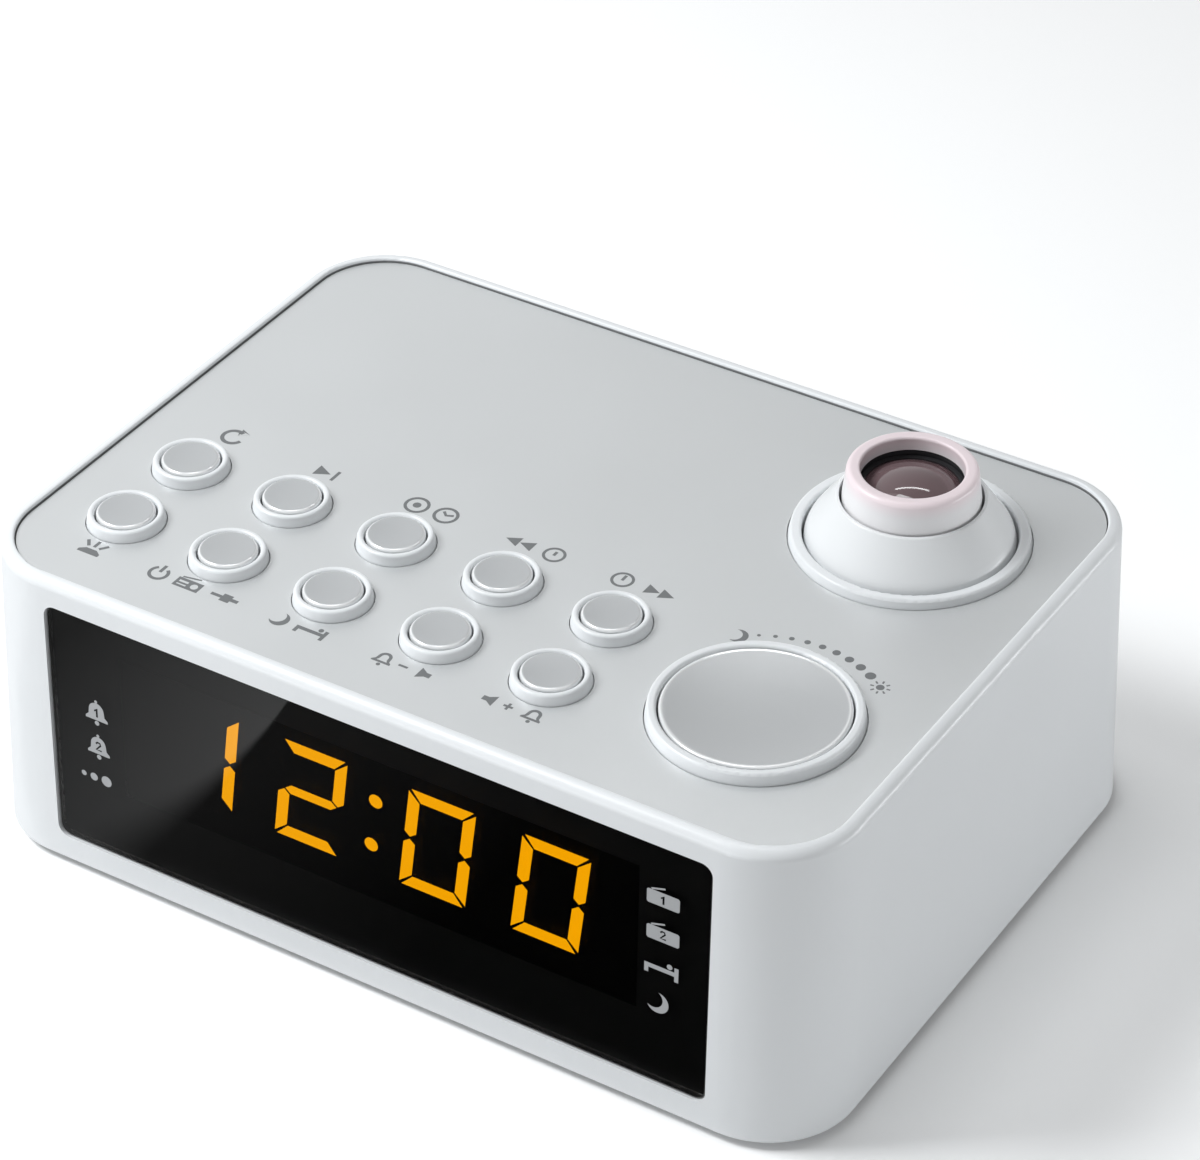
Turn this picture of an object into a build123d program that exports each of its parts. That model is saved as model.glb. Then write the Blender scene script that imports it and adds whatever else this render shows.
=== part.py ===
from build123d import *

import os
from math import asin, cos, radians, sin, tan

os.makedirs("parts", exist_ok=True)

# Projection alarm clock: a table clock radio with a display behind a dark lens in front,
# sprung keys in raised collars on top, and a ceiling projector with a focus ring.
# Millimetres, +Z up. The display faces -Y. The origin is the middle of the footprint,
# on the table.

# ---------------------------------------------------------------- driving sizes
# Housing
base_width = 152.5
base_depth = 110.8
housing_height = 52.5  # bottom edge to the crest of the rim
foot_gap = 1.5  # table to the bottom edge
side_draft = 1.5  # degrees that the side and back walls lean in
front_lean = 2.4  # degrees that the front leans back
corner_radius = 14.5
wall = 2.2
rim_rounding = 1.7
rim_inner_rounding = 0.35

# Top plate, an inlay sunk below the rim
rim_width = 2.4  # level with the plate
plate_thickness = 1.2
plate_sink = 0.8
plate_gap = 0.2

# Keys
key_columns = 5
key_rows = 2
key_left_margin = 14.0  # from the edges of the plate to the nearest key centres
key_front_margin = 17.7
key_pitch_x = 19.5
key_pitch_y = 16.8
key_radius = 4.65
key_edge = 0.55
key_dish = 0.25
key_stand = 0.15  # edge of the key above the crest of its collar
key_collar_radius = 6.25
key_collar_height = 1.8
snooze_right_margin = 23.1
snooze_radius = 14.2
snooze_edge = 0.4
snooze_dish = 1.3
snooze_stand = -0.2
snooze_collar_radius = 16.25
snooze_collar_height = 2.0
key_gap = 0.3  # round every key in its collar
key_travel = 0.5
key_flange_width = 1.1
key_flange_thickness = 1.0
key_seat_gap = 0.2  # flange to the underside of the top wall
collar_slope = 0.35  # how much narrower a collar is at its crest
collar_rounding = 0.5
collar_clearance = 0.15  # collar to the hole in the plate

# Tact switches on the key board
switch_size = 6.0
switch_height = 3.5
plunger_radius = 1.7
plunger_gap = 0.1
plunger_length = 1.6
plunger_stand = 0.8  # plunger above its switch at rest
key_stem_radius = 1.9
snooze_stem_radius = 3.0

# Circuit boards
board_thickness = 1.6
screw_radius = 1.2
screw_head_radius = 2.3
screw_head_height = 1.3
screw_length = 6.0
screw_gap = 0.05
boss_radius = 2.6
key_board_margin = 6.6  # past the centres of the keys and bosses
key_board_depth = 30.4

# Display window, lens and module
lens_width = 118.5
lens_height = 43.5
lens_corner = 1.9
lens_thickness = 2.0
lens_recess = 0.4
lens_gap = 0.15
lens_middle = 26.1  # above the bottom edge of the housing
window_width = 102.0
window_height = 36.0
window_pad = 2.4  # thickening round the window, behind the wall
window_pad_margin = 1.5
module_width = 93.0
module_height = 26.0
module_depth = 7.2
module_gap = 0.4  # lens to module
module_rise = 2.8  # middle of the module above the middle of the lens
digit_rise = 3.7  # middle of the digits above the middle of the lens
digit_height = 18.4
digit_width = 11.8
digit_pitch = 19.85
colon_width = 2.95  # added between the hours and the minutes
digit_slant = 6.5
bar_width = 2.05
bar_gap = 0.42
bar_depth = 0.8
dot_radius = 1.2
dot_spread = 8.4
display_board_gap = 3.75  # between the board and the corner posts
display_board_margin = 1.4  # the board is this much shorter than the lens at each end
display_screw_margin = 3.5  # screws in from the ends of the board

# Base cover
cover_thickness = 2.2
cover_gap = 0.25
cover_lip_height = 3.0
cover_lip_width = 1.4
foot_radius = 5.0
foot_recess = 0.8
foot_side_margin = 22.25  # from the edges of the base
foot_end_margin = 16.4
case_screw_margin = 11.3
case_post_radius = 3.75
case_pillar_height = 9.8  # base pillar above the cover
post_rib_width = 1.6  # ribs that tie the upper posts to the side walls
post_rib_reach = 9.0
post_rib_step = 5.0
case_screw_radius = 1.45
case_screw_head_radius = 2.8
case_screw_head_height = 2.0
case_screw_sink = 1.0
case_screw_grip = 9.0  # length in the upper post

# Speaker
speaker_side_margin = 34.25  # from the left edge of the base
speaker_y = -5.0
speaker_radius = 25.0
speaker_flange = 1.2
speaker_height = 18.0
speaker_magnet_radius = 13.0
speaker_magnet_height = 6.5
speaker_seat_height = 1.0
slot_count = 9
slot_width = 2.0
slot_pitch = 4.6

# Battery bay for two AAA cells side by side, and its sliding door
cell_length = 44.5
cell_radius = 5.25
bay_wall = 1.6
bay_play = 0.8
contact_room = 2.6  # at each end of the cells
contact_thickness = 0.4
spring_radius = 2.8
spring_wire = 0.25
spring_turns = 2.5
door_skin = 1.05
door_tongue = 0.9
door_tongue_width = 1.5
door_gap = 0.15
door_side_gap = 0.3
rail_height = 3.5

# Main board, sockets and other parts on it
main_board_side_margin = 18.25  # from the left edge of the base
main_board_overhang = 5.0  # in front of the battery bay
capacitor_first = 16.0  # from the left edge of the board
capacitor_pitch = 10.0
capacitor_count = 3
main_board_level = 18.5
audio_inset = 28.0  # from the left edge of the board
audio_bore_radius = 1.8
audio_bore_depth = 12.0
audio_nose_radius = 3.0
audio_body = (7.0, 13.0, 6.4)
power_inset = 12.0
power_bore_radius = 3.1
power_bore_depth = 9.5
power_pin_radius = 1.0
power_nose_radius = 4.2
power_body = (9.4, 13.5, 11.0)
socket_hole_gap = 0.9
socket_wall_gap = 0.25

# Ferrite rod aerial
rod_radius = 4.0
rod_length = 68.0
rod_side_margin = 49.25  # from the right edge of the base to the rod's middle
rod_y = -20.0
rod_level = 14.0
coil_radius = 5.4
coil_length = 20.0
saddle_spread = 52.0
saddle_width = 4.0

# Projector
projector_margin = 25.5  # from the right and back edges of the plate
projector_collar_radius = 18.8
projector_collar_height = 1.5
dome_radius = 16.4
dome_gap = 0.3
dome_height = 8.0
dome_shoulder = 1.2  # where the cone would meet the upright foot, above the plate
dome_foot_rounding = 5.0
dome_rim = 0.45  # top edge round the focus ring
dome_wall = 2.2
dome_flange_radius = 19.3
dome_flange_thickness = 1.8
focus_gap = 0.45
focus_radius = 10.7
focus_top_radius = 10.1
focus_height = 13.1  # crest above the plate
focus_lip = 2.3
focus_opening = 8.0
focus_rounding = 0.9
focus_flange_radius = 12.2
focus_flange_thickness = 1.4
focus_play = 0.2
focus_min = -90.0  # degrees, anticlockwise from above is positive
focus_max = 20.0
focus_rise = 0.025  # millimetres that the lens rises for each degree
guide_inner_radius = 8.35
guide_wall = 0.8
guide_gap = 0.2
cup_gap = 0.1
cup_wall = 1.2
carrier_gap = 0.15
carrier_length = 7.3
carrier_wall = 1.6
carrier_top = 9.7  # above the plate, at rest
pin_radius = 0.8
pin_gap = 0.15
pin_drop = 4.7  # pins below the top of the carrier
groove_depth = 0.65
groove_width = 2.0
groove_reach = 7.0  # degrees past each end of the travel
lens_radius = 7.35
lens_edge = 1.2
lens_crown = 2.3
lens_seat_gap = 0.05
tube_radius = 12.0
tube_wall = 1.8
tube_bottom = 19.8
tube_flange_thickness = 2.0
ear_reach = 23.0
ear_radius = 2.75
condenser_level = 28.0
condenser_edge = 1.6
condenser_crown = 2.6
condenser_ledge = 1.0
glass_level = 36.0
glass_size = (22.0, 15.0, 1.6)
glass_gap = 0.15
projector_board_size = (36.0, 27.0)
lug_reach = 15.5
led_size = 5.0
led_height = 1.6
led_dome_radius = 1.9

# ---------------------------------------------------------------- levels and places
z_bottom = foot_gap
z_crest = foot_gap + housing_height
z_plate = z_crest - plate_sink
z_recess = z_plate - plate_thickness
z_ceiling = z_recess - wall
z_cover = z_bottom + cover_thickness
lean = tan(radians(front_lean))
draft_slope = tan(radians(side_draft))


def front_y(z):
    """Front face of the housing at height z."""
    return -base_depth / 2 + (z - z_bottom) * lean


def back_y(z):
    """Back face of the housing at height z."""
    return base_depth / 2 - (z - z_bottom) * draft_slope


def outline_middle(z):
    """Middle of the housing's outline, front to back, at height z."""
    return (front_y(z) + back_y(z)) / 2


def outline_size(z, inset=0.0):
    """Width, depth and corner radius of the housing's outline at height z, drawn in by inset."""
    width = base_width - 2 * (z - z_bottom) * draft_slope - 2 * inset
    depth = back_y(z) - front_y(z) - 2 * inset
    return width, depth, corner_radius - inset


plate_y = outline_middle(z_plate)
plate_width, plate_depth, plate_corner = outline_size(z_plate, rim_width)
key_first_x = -plate_width / 2 + key_left_margin
key_back_row = plate_y - plate_depth / 2 + key_front_margin + (key_rows - 1) * key_pitch_y
key_places = [
    (key_first_x + column * key_pitch_x, key_back_row - row * key_pitch_y)
    for row in range(key_rows)
    for column in range(key_columns)
]
snooze_x = plate_width / 2 - snooze_right_margin
snooze_place = (snooze_x, key_back_row - (key_rows - 1) * key_pitch_y / 2)
projector_x = plate_width / 2 - projector_margin
projector_place = (projector_x, plate_y + plate_depth / 2 - projector_margin)

z_flange = z_ceiling - key_seat_gap - key_flange_thickness
z_switch_top = z_flange - key_travel - plunger_stand - 0.5
z_plunger_top = z_switch_top + plunger_stand
z_key_board = z_switch_top - switch_height
boss_reach = key_board_depth / 2 - boss_radius
corner_boss = (snooze_radius + key_flange_width + boss_radius + 0.5) ** 2 - boss_reach**2
key_board_bosses = [
    (key_first_x + key_pitch_x / 2, snooze_place[1]),
    (key_first_x + key_pitch_x * 2.5, snooze_place[1]),
    (snooze_x - snooze_collar_radius - boss_radius - 1.8, snooze_place[1] + boss_reach),
    (snooze_x - snooze_collar_radius - boss_radius - 1.8, snooze_place[1] - boss_reach),
    (snooze_x + corner_boss**0.5, snooze_place[1] + boss_reach),
]
key_board_left = key_first_x - key_board_margin + 1.6
key_board_right = key_board_bosses[-1][0] + boss_radius

# The front plane lies on the front face, its local Y running up the face.
lens_z = z_bottom + lens_middle
front_plane = Plane(
    origin=(0, front_y(lens_z), lens_z),
    x_dir=(1, 0, 0),
    z_dir=(0, -cos(radians(front_lean)), sin(radians(front_lean))),
)
lens_back = lens_recess + lens_thickness
pad_back = wall + window_pad
module_front = lens_back + module_gap
module_back = module_front + module_depth
case_screw_x = base_width / 2 - case_screw_margin
case_screw_y = base_depth / 2 - case_screw_margin
display_board_width = 2 * (case_screw_x - case_post_radius - display_board_gap)
display_board_height = lens_height - 2 * display_board_margin
display_screw_x = display_board_width / 2 - display_screw_margin
display_screw_y = display_board_height / 2 - display_screw_margin
display_screws = [
    (x, y)
    for x in (-display_screw_x, display_screw_x)
    for y in (-display_screw_y, display_screw_y)
]

case_screws = [(x, y) for x in (-case_screw_x, case_screw_x) for y in (-case_screw_y, case_screw_y)]
foot_x = base_width / 2 - foot_side_margin
foot_y = base_depth / 2 - foot_end_margin
foot_places = [(x, y) for x in (-foot_x, foot_x) for y in (-foot_y, foot_y)]
z_pillar = z_cover + case_pillar_height

# Battery bay, measured from the back face of the housing
bay_half = cell_length / 2 + contact_room
bay_back = base_depth / 2 - wall - cover_gap - bay_wall - 1.0
bay_front = bay_back - 4 * cell_radius - bay_play
z_door = z_bottom + door_skin + door_tongue
z_bay = z_door + 2 * door_gap
z_bay_top = z_bay + 2 * cell_radius + bay_play
door_half = bay_half + 0.6

# Main board
speaker_x = -base_width / 2 + speaker_side_margin
rod_x = base_width / 2 - rod_side_margin
main_board_left = -base_width / 2 + main_board_side_margin
main_board_right = bay_half - 0.85
main_board_front = bay_front - main_board_overhang
audio_x = main_board_left + audio_inset
power_x = main_board_left + power_inset
z_main = main_board_level + board_thickness
main_board_back = back_y(main_board_level) - wall - 0.7
main_board_posts = [(main_board_left + 4, main_board_front + 4), (main_board_left + 4, main_board_back - 8)]
bay_posts = [(main_board_right - 5, main_board_front + 6), (main_board_right - 5, main_board_back - 6)]
bay_screw_grip = main_board_level - z_bay_top - bay_wall + 0.7
z_audio = z_main + audio_body[2] / 2
z_power = z_main + power_body[2] / 2

# Projector levels
z_dome_flange = z_ceiling - dome_flange_thickness
z_ring_bottom = z_plate
z_cup = z_ring_bottom - focus_play
z_cup_rim = z_ring_bottom + focus_flange_thickness
z_sleeve = z_cup_rim + focus_play
z_dome_top = z_plate + dome_height
z_ring_top = z_plate + focus_height
z_lip = z_ring_top - focus_lip
z_guide_top = z_lip - 2 * focus_play
z_tube_flange = z_dome_flange - tube_flange_thickness
ear_screw_grip = dome_flange_thickness + wall * 0.5 - 0.3
guide_radius = guide_inner_radius + guide_wall
ring_inner_radius = guide_radius + guide_gap
cup_radius = focus_flange_radius + cup_gap
dome_bore = focus_radius + focus_gap
carrier_radius = guide_inner_radius - carrier_gap
z_carrier_top = z_plate + carrier_top
z_carrier_bottom = z_carrier_top - carrier_length
z_pins = z_carrier_top - pin_drop
pin_low = focus_min * focus_rise
pin_high = focus_max * focus_rise
ear_angles = (90.0, 210.0, 330.0)
pin_angles = (0.0, 120.0, 240.0)
ear_places = [
    (
        projector_place[0] + ear_reach * cos(radians(angle)),
        projector_place[1] + ear_reach * sin(radians(angle)),
    )
    for angle in ear_angles
]


def save(builder, name):
    """Name a finished piece and write it."""
    builder.part.label = name
    export_step(builder.part, "parts/" + name + ".step")


# ---------------------------------------------------------------- shared forms
def cap_arc(radius, level, rise):
    """Half section of a spherical cap: from its edge to the middle, rise above the edge."""
    ball = (radius**2 + rise**2) / (2 * abs(rise))
    half_angle = asin(radius / ball) / 2
    drop = ball * (1 - cos(half_angle)) * rise / abs(rise)
    ThreePointArc((radius, level), (ball * sin(half_angle), level + rise - drop), (0, level + rise))


def make_collar(outer_radius, bore_radius, height):
    """Raised ring round a key, from the recess floor, narrower and rounded at its crest."""
    crest = plate_thickness + height
    crest_radius = outer_radius - collar_slope
    with BuildPart() as collar:
        with BuildSketch(Plane.XZ) as section:
            with BuildLine():
                Polyline(
                    (bore_radius, -wall / 2),
                    (outer_radius, -wall / 2),
                    (outer_radius, plate_thickness),
                    (crest_radius, crest),
                    (bore_radius, crest),
                    close=True,
                )
            make_face()
            crest_corners = section.vertices().group_by(Axis.Y)[-1]
            fillet(crest_corners, collar_rounding)
        revolve(axis=Axis.Z)
    return collar.part


def make_key(radius, edge, dish, top, stem_radius):
    """Key cap standing on its plunger: dished top, rounded edge, skirt, flange and stem."""
    inner = radius - 1.2
    flange_radius = radius + key_flange_width
    with BuildPart() as key:
        with BuildSketch(Plane.XZ):
            with BuildLine():
                Line((0, z_plunger_top), (stem_radius, z_plunger_top))
                Line((stem_radius, z_plunger_top), (stem_radius, z_flange + 0.6))
                Polyline(
                    (stem_radius, z_flange + 0.6),
                    (inner, z_flange + 0.6),
                    (inner, z_flange),
                    (flange_radius, z_flange),
                    (flange_radius, z_flange + key_flange_thickness),
                    (radius, z_flange + key_flange_thickness),
                    (radius, top - edge),
                )
                RadiusArc((radius, top - edge), (radius - edge, top), -edge)
                cap_arc(radius - edge, top, -dish)
                Line((0, top - dish), (0, z_plunger_top))
            make_face()
        revolve(axis=Axis.Z)
    return key.part


def make_screw(radius, head_radius, head_height, length):
    """Pan-head screw with a cross recess, head up, its seat at the origin."""
    with BuildPart() as screw:
        Cylinder(radius, length, align=(Align.CENTER, Align.CENTER, Align.MAX))
        Cylinder(head_radius, head_height, align=(Align.CENTER, Align.CENTER, Align.MIN))
        fillet(screw.edges().sort_by(Axis.Z)[-1], head_height * 0.4)
        with BuildSketch(Plane.XY.offset(head_height)):
            Rectangle(head_radius * 1.1, head_radius * 0.25)
            Rectangle(head_radius * 0.25, head_radius * 1.1)
        extrude(amount=-head_height * 0.5, mode=Mode.SUBTRACT)
    return screw.part


# ---------------------------------------------------------------- upper housing
key_collar = make_collar(key_collar_radius, key_radius + key_gap, key_collar_height)
snooze_collar = make_collar(snooze_collar_radius, snooze_radius + key_gap, snooze_collar_height)
projector_collar = make_collar(projector_collar_radius, dome_radius + dome_gap, projector_collar_height)

with BuildPart() as upper_housing:
    # Outer form: a rounded block that narrows upwards, with a rounded rim
    for level in (z_bottom, z_crest):
        with BuildSketch(Plane.XY.offset(level)):
            with Locations((0, outline_middle(level))):
                RectangleRounded(*outline_size(level))
    loft(ruled=True)
    fillet(upper_housing.edges().group_by(Axis.Z)[-1], rim_rounding)
    # Recess for the top plate, its edge eased
    with BuildSketch(Plane.XY.offset(z_crest)):
        with Locations((0, plate_y)):
            RectangleRounded(*outline_size(z_plate, rim_width - plate_gap))
    extrude(amount=-(plate_sink + plate_thickness), mode=Mode.SUBTRACT)
    fillet(upper_housing.faces().sort_by(Axis.Z)[-1].inner_wires()[0].edges(), rim_inner_rounding)
    # Cavity, open below
    for level in (z_bottom, z_ceiling):
        with BuildSketch(Plane.XY.offset(level)):
            with Locations((0, outline_middle(level))):
                RectangleRounded(*outline_size(level, wall))
    loft(ruled=True, mode=Mode.SUBTRACT)
    # Thickening round the display window
    with BuildSketch(front_plane.offset(-wall + 0.3)):
        RectangleRounded(
            lens_width + 2 * window_pad_margin,
            lens_height + 2 * window_pad_margin,
            lens_corner,
        )
    extrude(amount=-(window_pad + 0.3))
    # Bosses for the display board
    with BuildSketch(front_plane.offset(-pad_back)):
        with Locations(*display_screws):
            Circle(boss_radius)
    extrude(amount=-(module_back - pad_back))
    with BuildSketch(front_plane.offset(-module_back)):
        with Locations(*display_screws):
            Circle(screw_radius + screw_gap)
    extrude(amount=screw_length - board_thickness + 0.3, mode=Mode.SUBTRACT)
    # Window, and the rebate that the lens sits in
    with BuildSketch(front_plane.offset(1)):
        RectangleRounded(window_width, window_height, lens_corner)
    extrude(amount=-(pad_back + 3), mode=Mode.SUBTRACT)
    with BuildSketch(front_plane.offset(-lens_back)):
        RectangleRounded(lens_width + 2 * lens_gap, lens_height + 2 * lens_gap, lens_corner + lens_gap)
    extrude(amount=lens_back + 2, mode=Mode.SUBTRACT)
    # Posts: case screws at the corners, key board, projector
    with BuildSketch(Plane.XY.offset(z_ceiling)):
        with Locations(*case_screws):
            Circle(case_post_radius)
    extrude(amount=-(z_ceiling - z_pillar))
    with BuildSketch(Plane.XY.offset(z_ceiling)):
        with Locations(*[(x * (1 + post_rib_reach / 2 / case_screw_x), y) for x, y in case_screws]):
            Rectangle(post_rib_reach, post_rib_width)
    extrude(amount=-(z_ceiling - z_pillar - post_rib_step))
    with BuildSketch(Plane.XY.offset(z_pillar)):
        with Locations(*case_screws):
            Circle(case_screw_radius + screw_gap)
    extrude(amount=case_screw_grip + 1, mode=Mode.SUBTRACT)
    with BuildSketch(Plane.XY.offset(z_ceiling)):
        with Locations(*key_board_bosses):
            Circle(boss_radius)
    extrude(amount=-(z_ceiling - z_key_board))
    with BuildSketch(Plane.XY.offset(z_key_board)):
        with Locations(*key_board_bosses):
            Circle(screw_radius + screw_gap)
    extrude(amount=screw_length - board_thickness + 0.3, mode=Mode.SUBTRACT)
    with BuildSketch(Plane.XY.offset(z_ceiling)):
        with Locations(*ear_places):
            Circle(ear_radius)
    extrude(amount=-(z_ceiling - z_dome_flange))
    with BuildSketch(Plane.XY.offset(z_dome_flange)):
        with Locations(*ear_places):
            Circle(screw_radius + screw_gap)
    extrude(amount=dome_flange_thickness + wall * 0.5, mode=Mode.SUBTRACT)
    # Raised collars and the bores through them
    with Locations(*[(x, y, z_recess) for x, y in key_places]):
        add(key_collar)
    with Locations((*snooze_place, z_recess)):
        add(snooze_collar)
    with Locations((*projector_place, z_recess)):
        add(projector_collar)
    with BuildSketch(Plane.XY.offset(z_ceiling - 0.5)):
        with Locations(*key_places):
            Circle(key_radius + key_gap)
        with Locations(snooze_place):
            Circle(snooze_radius + key_gap)
        with Locations(projector_place):
            Circle(dome_radius + dome_gap)
    extrude(amount=wall + plate_thickness, mode=Mode.SUBTRACT)
    # Holes in the back wall for the plugs
    with BuildSketch(Plane.XZ.offset(-base_depth / 2 + 6)):
        with Locations((audio_x, z_audio)):
            Circle(audio_nose_radius + socket_hole_gap)
        with Locations((power_x, z_power)):
            Circle(power_nose_radius + socket_hole_gap)
    extrude(amount=-8, mode=Mode.SUBTRACT)
    # Notch that the battery door slides through
    with Locations((0, base_depth / 2, z_bottom - 1)):
        Box(
            2 * (door_half + door_tongue_width + door_side_gap),
            4 * wall,
            z_door + door_gap - z_bottom + 1,
            align=(Align.CENTER, Align.CENTER, Align.MIN),
            mode=Mode.SUBTRACT,
        )
save(upper_housing, "upper_housing")

# ---------------------------------------------------------------- top plate
with BuildPart() as top_plate:
    with BuildSketch(Plane.XY.offset(z_recess)):
        with Locations((0, plate_y)):
            RectangleRounded(plate_width, plate_depth, plate_corner)
        with Locations(*key_places):
            Circle(key_collar_radius + collar_clearance, mode=Mode.SUBTRACT)
        with Locations(snooze_place):
            Circle(snooze_collar_radius + collar_clearance, mode=Mode.SUBTRACT)
        with Locations(projector_place):
            Circle(projector_collar_radius + collar_clearance, mode=Mode.SUBTRACT)
    extrude(amount=plate_thickness)
save(top_plate, "top_plate")

# ---------------------------------------------------------------- display
with BuildPart() as display_lens:
    with BuildSketch(front_plane.offset(-lens_back)):
        RectangleRounded(lens_width, lens_height, lens_corner)
    extrude(amount=lens_thickness)
    front_edges = display_lens.faces().sort_by(Axis.Y)[0].edges()
    chamfer(front_edges, 0.25)
save(display_lens, "display_lens")


def bar_shapes():
    """The seven bars of a digit, each as its corner points, upright, about its middle."""
    half_w, half_h = digit_width / 2, digit_height / 2
    t, g = bar_width, bar_gap / 2
    mid = t / 2
    top = [
        (-half_w + 2 * g, half_h),
        (half_w - 2 * g, half_h),
        (half_w - t - g, half_h - t),
        (-half_w + t + g, half_h - t),
    ]
    left = [
        (-half_w, half_h - 2 * g),
        (-half_w, mid),
        (-half_w + mid, g),
        (-half_w + t, mid),
        (-half_w + t, half_h - t - g),
    ]
    middle = [
        (-half_w + mid + g, 0),
        (-half_w + t + g, mid - g),
        (half_w - t - g, mid - g),
        (half_w - mid - g, 0),
        (half_w - t - g, -mid + g),
        (-half_w + t + g, -mid + g),
    ]

    def flip(points, across, down):
        return [(x * (-1 if across else 1), y * (-1 if down else 1)) for x, y in points]

    return {
        "top": top,
        "upper_left": left,
        "upper_right": flip(left, True, False),
        "middle": middle,
        "lower_left": flip(left, False, True),
        "lower_right": flip(left, True, True),
        "bottom": flip(top, False, True),
    }


lit_bars = {
    "1": ("upper_right", "lower_right"),
    "2": ("top", "upper_right", "middle", "lower_left", "bottom"),
    "0": ("top", "upper_left", "upper_right", "lower_left", "lower_right", "bottom"),
}
shown_time = "1200"
slant = tan(radians(digit_slant))
digit_places = [
    (index - 1.5) * digit_pitch + (colon_width / 2 if index > 1 else -colon_width / 2) for index in range(4)
]


def bar_outlines(want_lit):
    """Slanted corner points of the lit or the dark bars of the whole display."""
    outlines = []
    for middle_x, figure in zip(digit_places, shown_time):
        for bar, points in bar_shapes().items():
            if (bar in lit_bars[figure]) == want_lit:
                outlines.append([(middle_x + x + y * slant, y + digit_rise) for x, y in points])
    return outlines


dot_places = [(side * dot_spread / 2 * slant, digit_rise + side * dot_spread / 2) for side in (-1, 1)]

with BuildPart() as time_digits:
    with BuildSketch(front_plane.offset(-module_front - bar_depth)):
        for outline in bar_outlines(True):
            with BuildLine():
                Polyline(*outline, close=True)
            make_face()
        with Locations(*dot_places):
            Circle(dot_radius)
    extrude(amount=bar_depth)
save(time_digits, "time_digits")

with BuildPart() as dark_segments:
    with BuildSketch(front_plane.offset(-module_front - bar_depth)):
        for outline in bar_outlines(False):
            with BuildLine():
                Polyline(*outline, close=True)
            make_face()
    extrude(amount=bar_depth)
save(dark_segments, "dark_segments")

with BuildPart() as display_module:
    with BuildSketch(front_plane.offset(-module_back)):
        with Locations((0, module_rise)):
            RectangleRounded(module_width, module_height, 0.8)
    extrude(amount=module_depth)
    with BuildSketch(front_plane.offset(-module_front)):
        for outline in bar_outlines(True) + bar_outlines(False):
            with BuildLine():
                Polyline(*outline, close=True)
            make_face()
        with Locations(*dot_places):
            Circle(dot_radius)
    extrude(amount=-bar_depth, mode=Mode.SUBTRACT)
save(display_module, "display_module")

with BuildPart() as display_board:
    with BuildSketch(front_plane.offset(-module_back)):
        Rectangle(display_board_width, display_board_height)
        with Locations(*display_screws):
            Circle(screw_radius + 0.3, mode=Mode.SUBTRACT)
    extrude(amount=-board_thickness)
save(display_board, "display_board")

# ---------------------------------------------------------------- keys
key_names = [
    "key_rotate",
    "key_next",
    "key_clock",
    "key_hour",
    "key_minute",
    "key_projection",
    "key_power",
    "key_sleep",
    "key_volume_down",
    "key_volume_up",
]
z_key_top = z_plate + key_collar_height + key_stand
z_snooze_top = z_plate + snooze_collar_height + snooze_stand
key_cap = make_key(key_radius, key_edge, key_dish, z_key_top, key_stem_radius)
for key_name, place in zip(key_names, key_places):
    with BuildPart() as key:
        with Locations(place):
            add(key_cap)
    save(key, key_name)

with BuildPart() as snooze_key:
    with Locations(snooze_place):
        add(make_key(snooze_radius, snooze_edge, snooze_dish, z_snooze_top, snooze_stem_radius))
save(snooze_key, "snooze_key")

# Each plunger stands in its switch and touches the stem of its key.
for key_name, place in zip([*key_names, "snooze"], [*key_places, snooze_place]):
    with BuildPart() as plunger:
        with Locations((*place, z_plunger_top)):
            Cylinder(plunger_radius, plunger_length, align=(Align.CENTER, Align.CENTER, Align.MAX))
    save(plunger, "plunger_" + key_name.replace("key_", ""))

with BuildPart() as tact_switches:
    with BuildSketch(Plane.XY.offset(z_key_board)):
        with Locations(*key_places, snooze_place):
            RectangleRounded(switch_size, switch_size, 0.5)
    extrude(amount=switch_height)
    with BuildSketch(Plane.XY.offset(z_switch_top)):
        with Locations(*key_places, snooze_place):
            Circle(plunger_radius + plunger_gap)
    extrude(amount=-(plunger_length - plunger_stand + key_travel + 0.3), mode=Mode.SUBTRACT)
save(tact_switches, "tact_switches")

with BuildPart() as key_board:
    with BuildSketch(Plane.XY.offset(z_key_board)):
        with Locations(((key_board_left + key_board_right) / 2, snooze_place[1])):
            Rectangle(key_board_right - key_board_left, key_board_depth)
        with Locations(*key_board_bosses):
            Circle(screw_radius + 0.3, mode=Mode.SUBTRACT)
    extrude(amount=-board_thickness)
save(key_board, "key_board")

# ---------------------------------------------------------------- base cover
bay_outer_half = bay_half + bay_wall
rail_half = door_half + door_tongue_width + door_side_gap + 2.2
bay_length = bay_back - bay_front
bay_middle = (bay_back + bay_front) / 2
door_front = bay_front - 0.6
door_opening_half = door_half + door_side_gap
tongue_half = door_half + door_tongue_width
rail_back = back_y(z_bottom + rail_height) - wall - cover_gap
z_seat = z_cover + speaker_seat_height
z_tongue = z_bottom + door_skin

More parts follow.
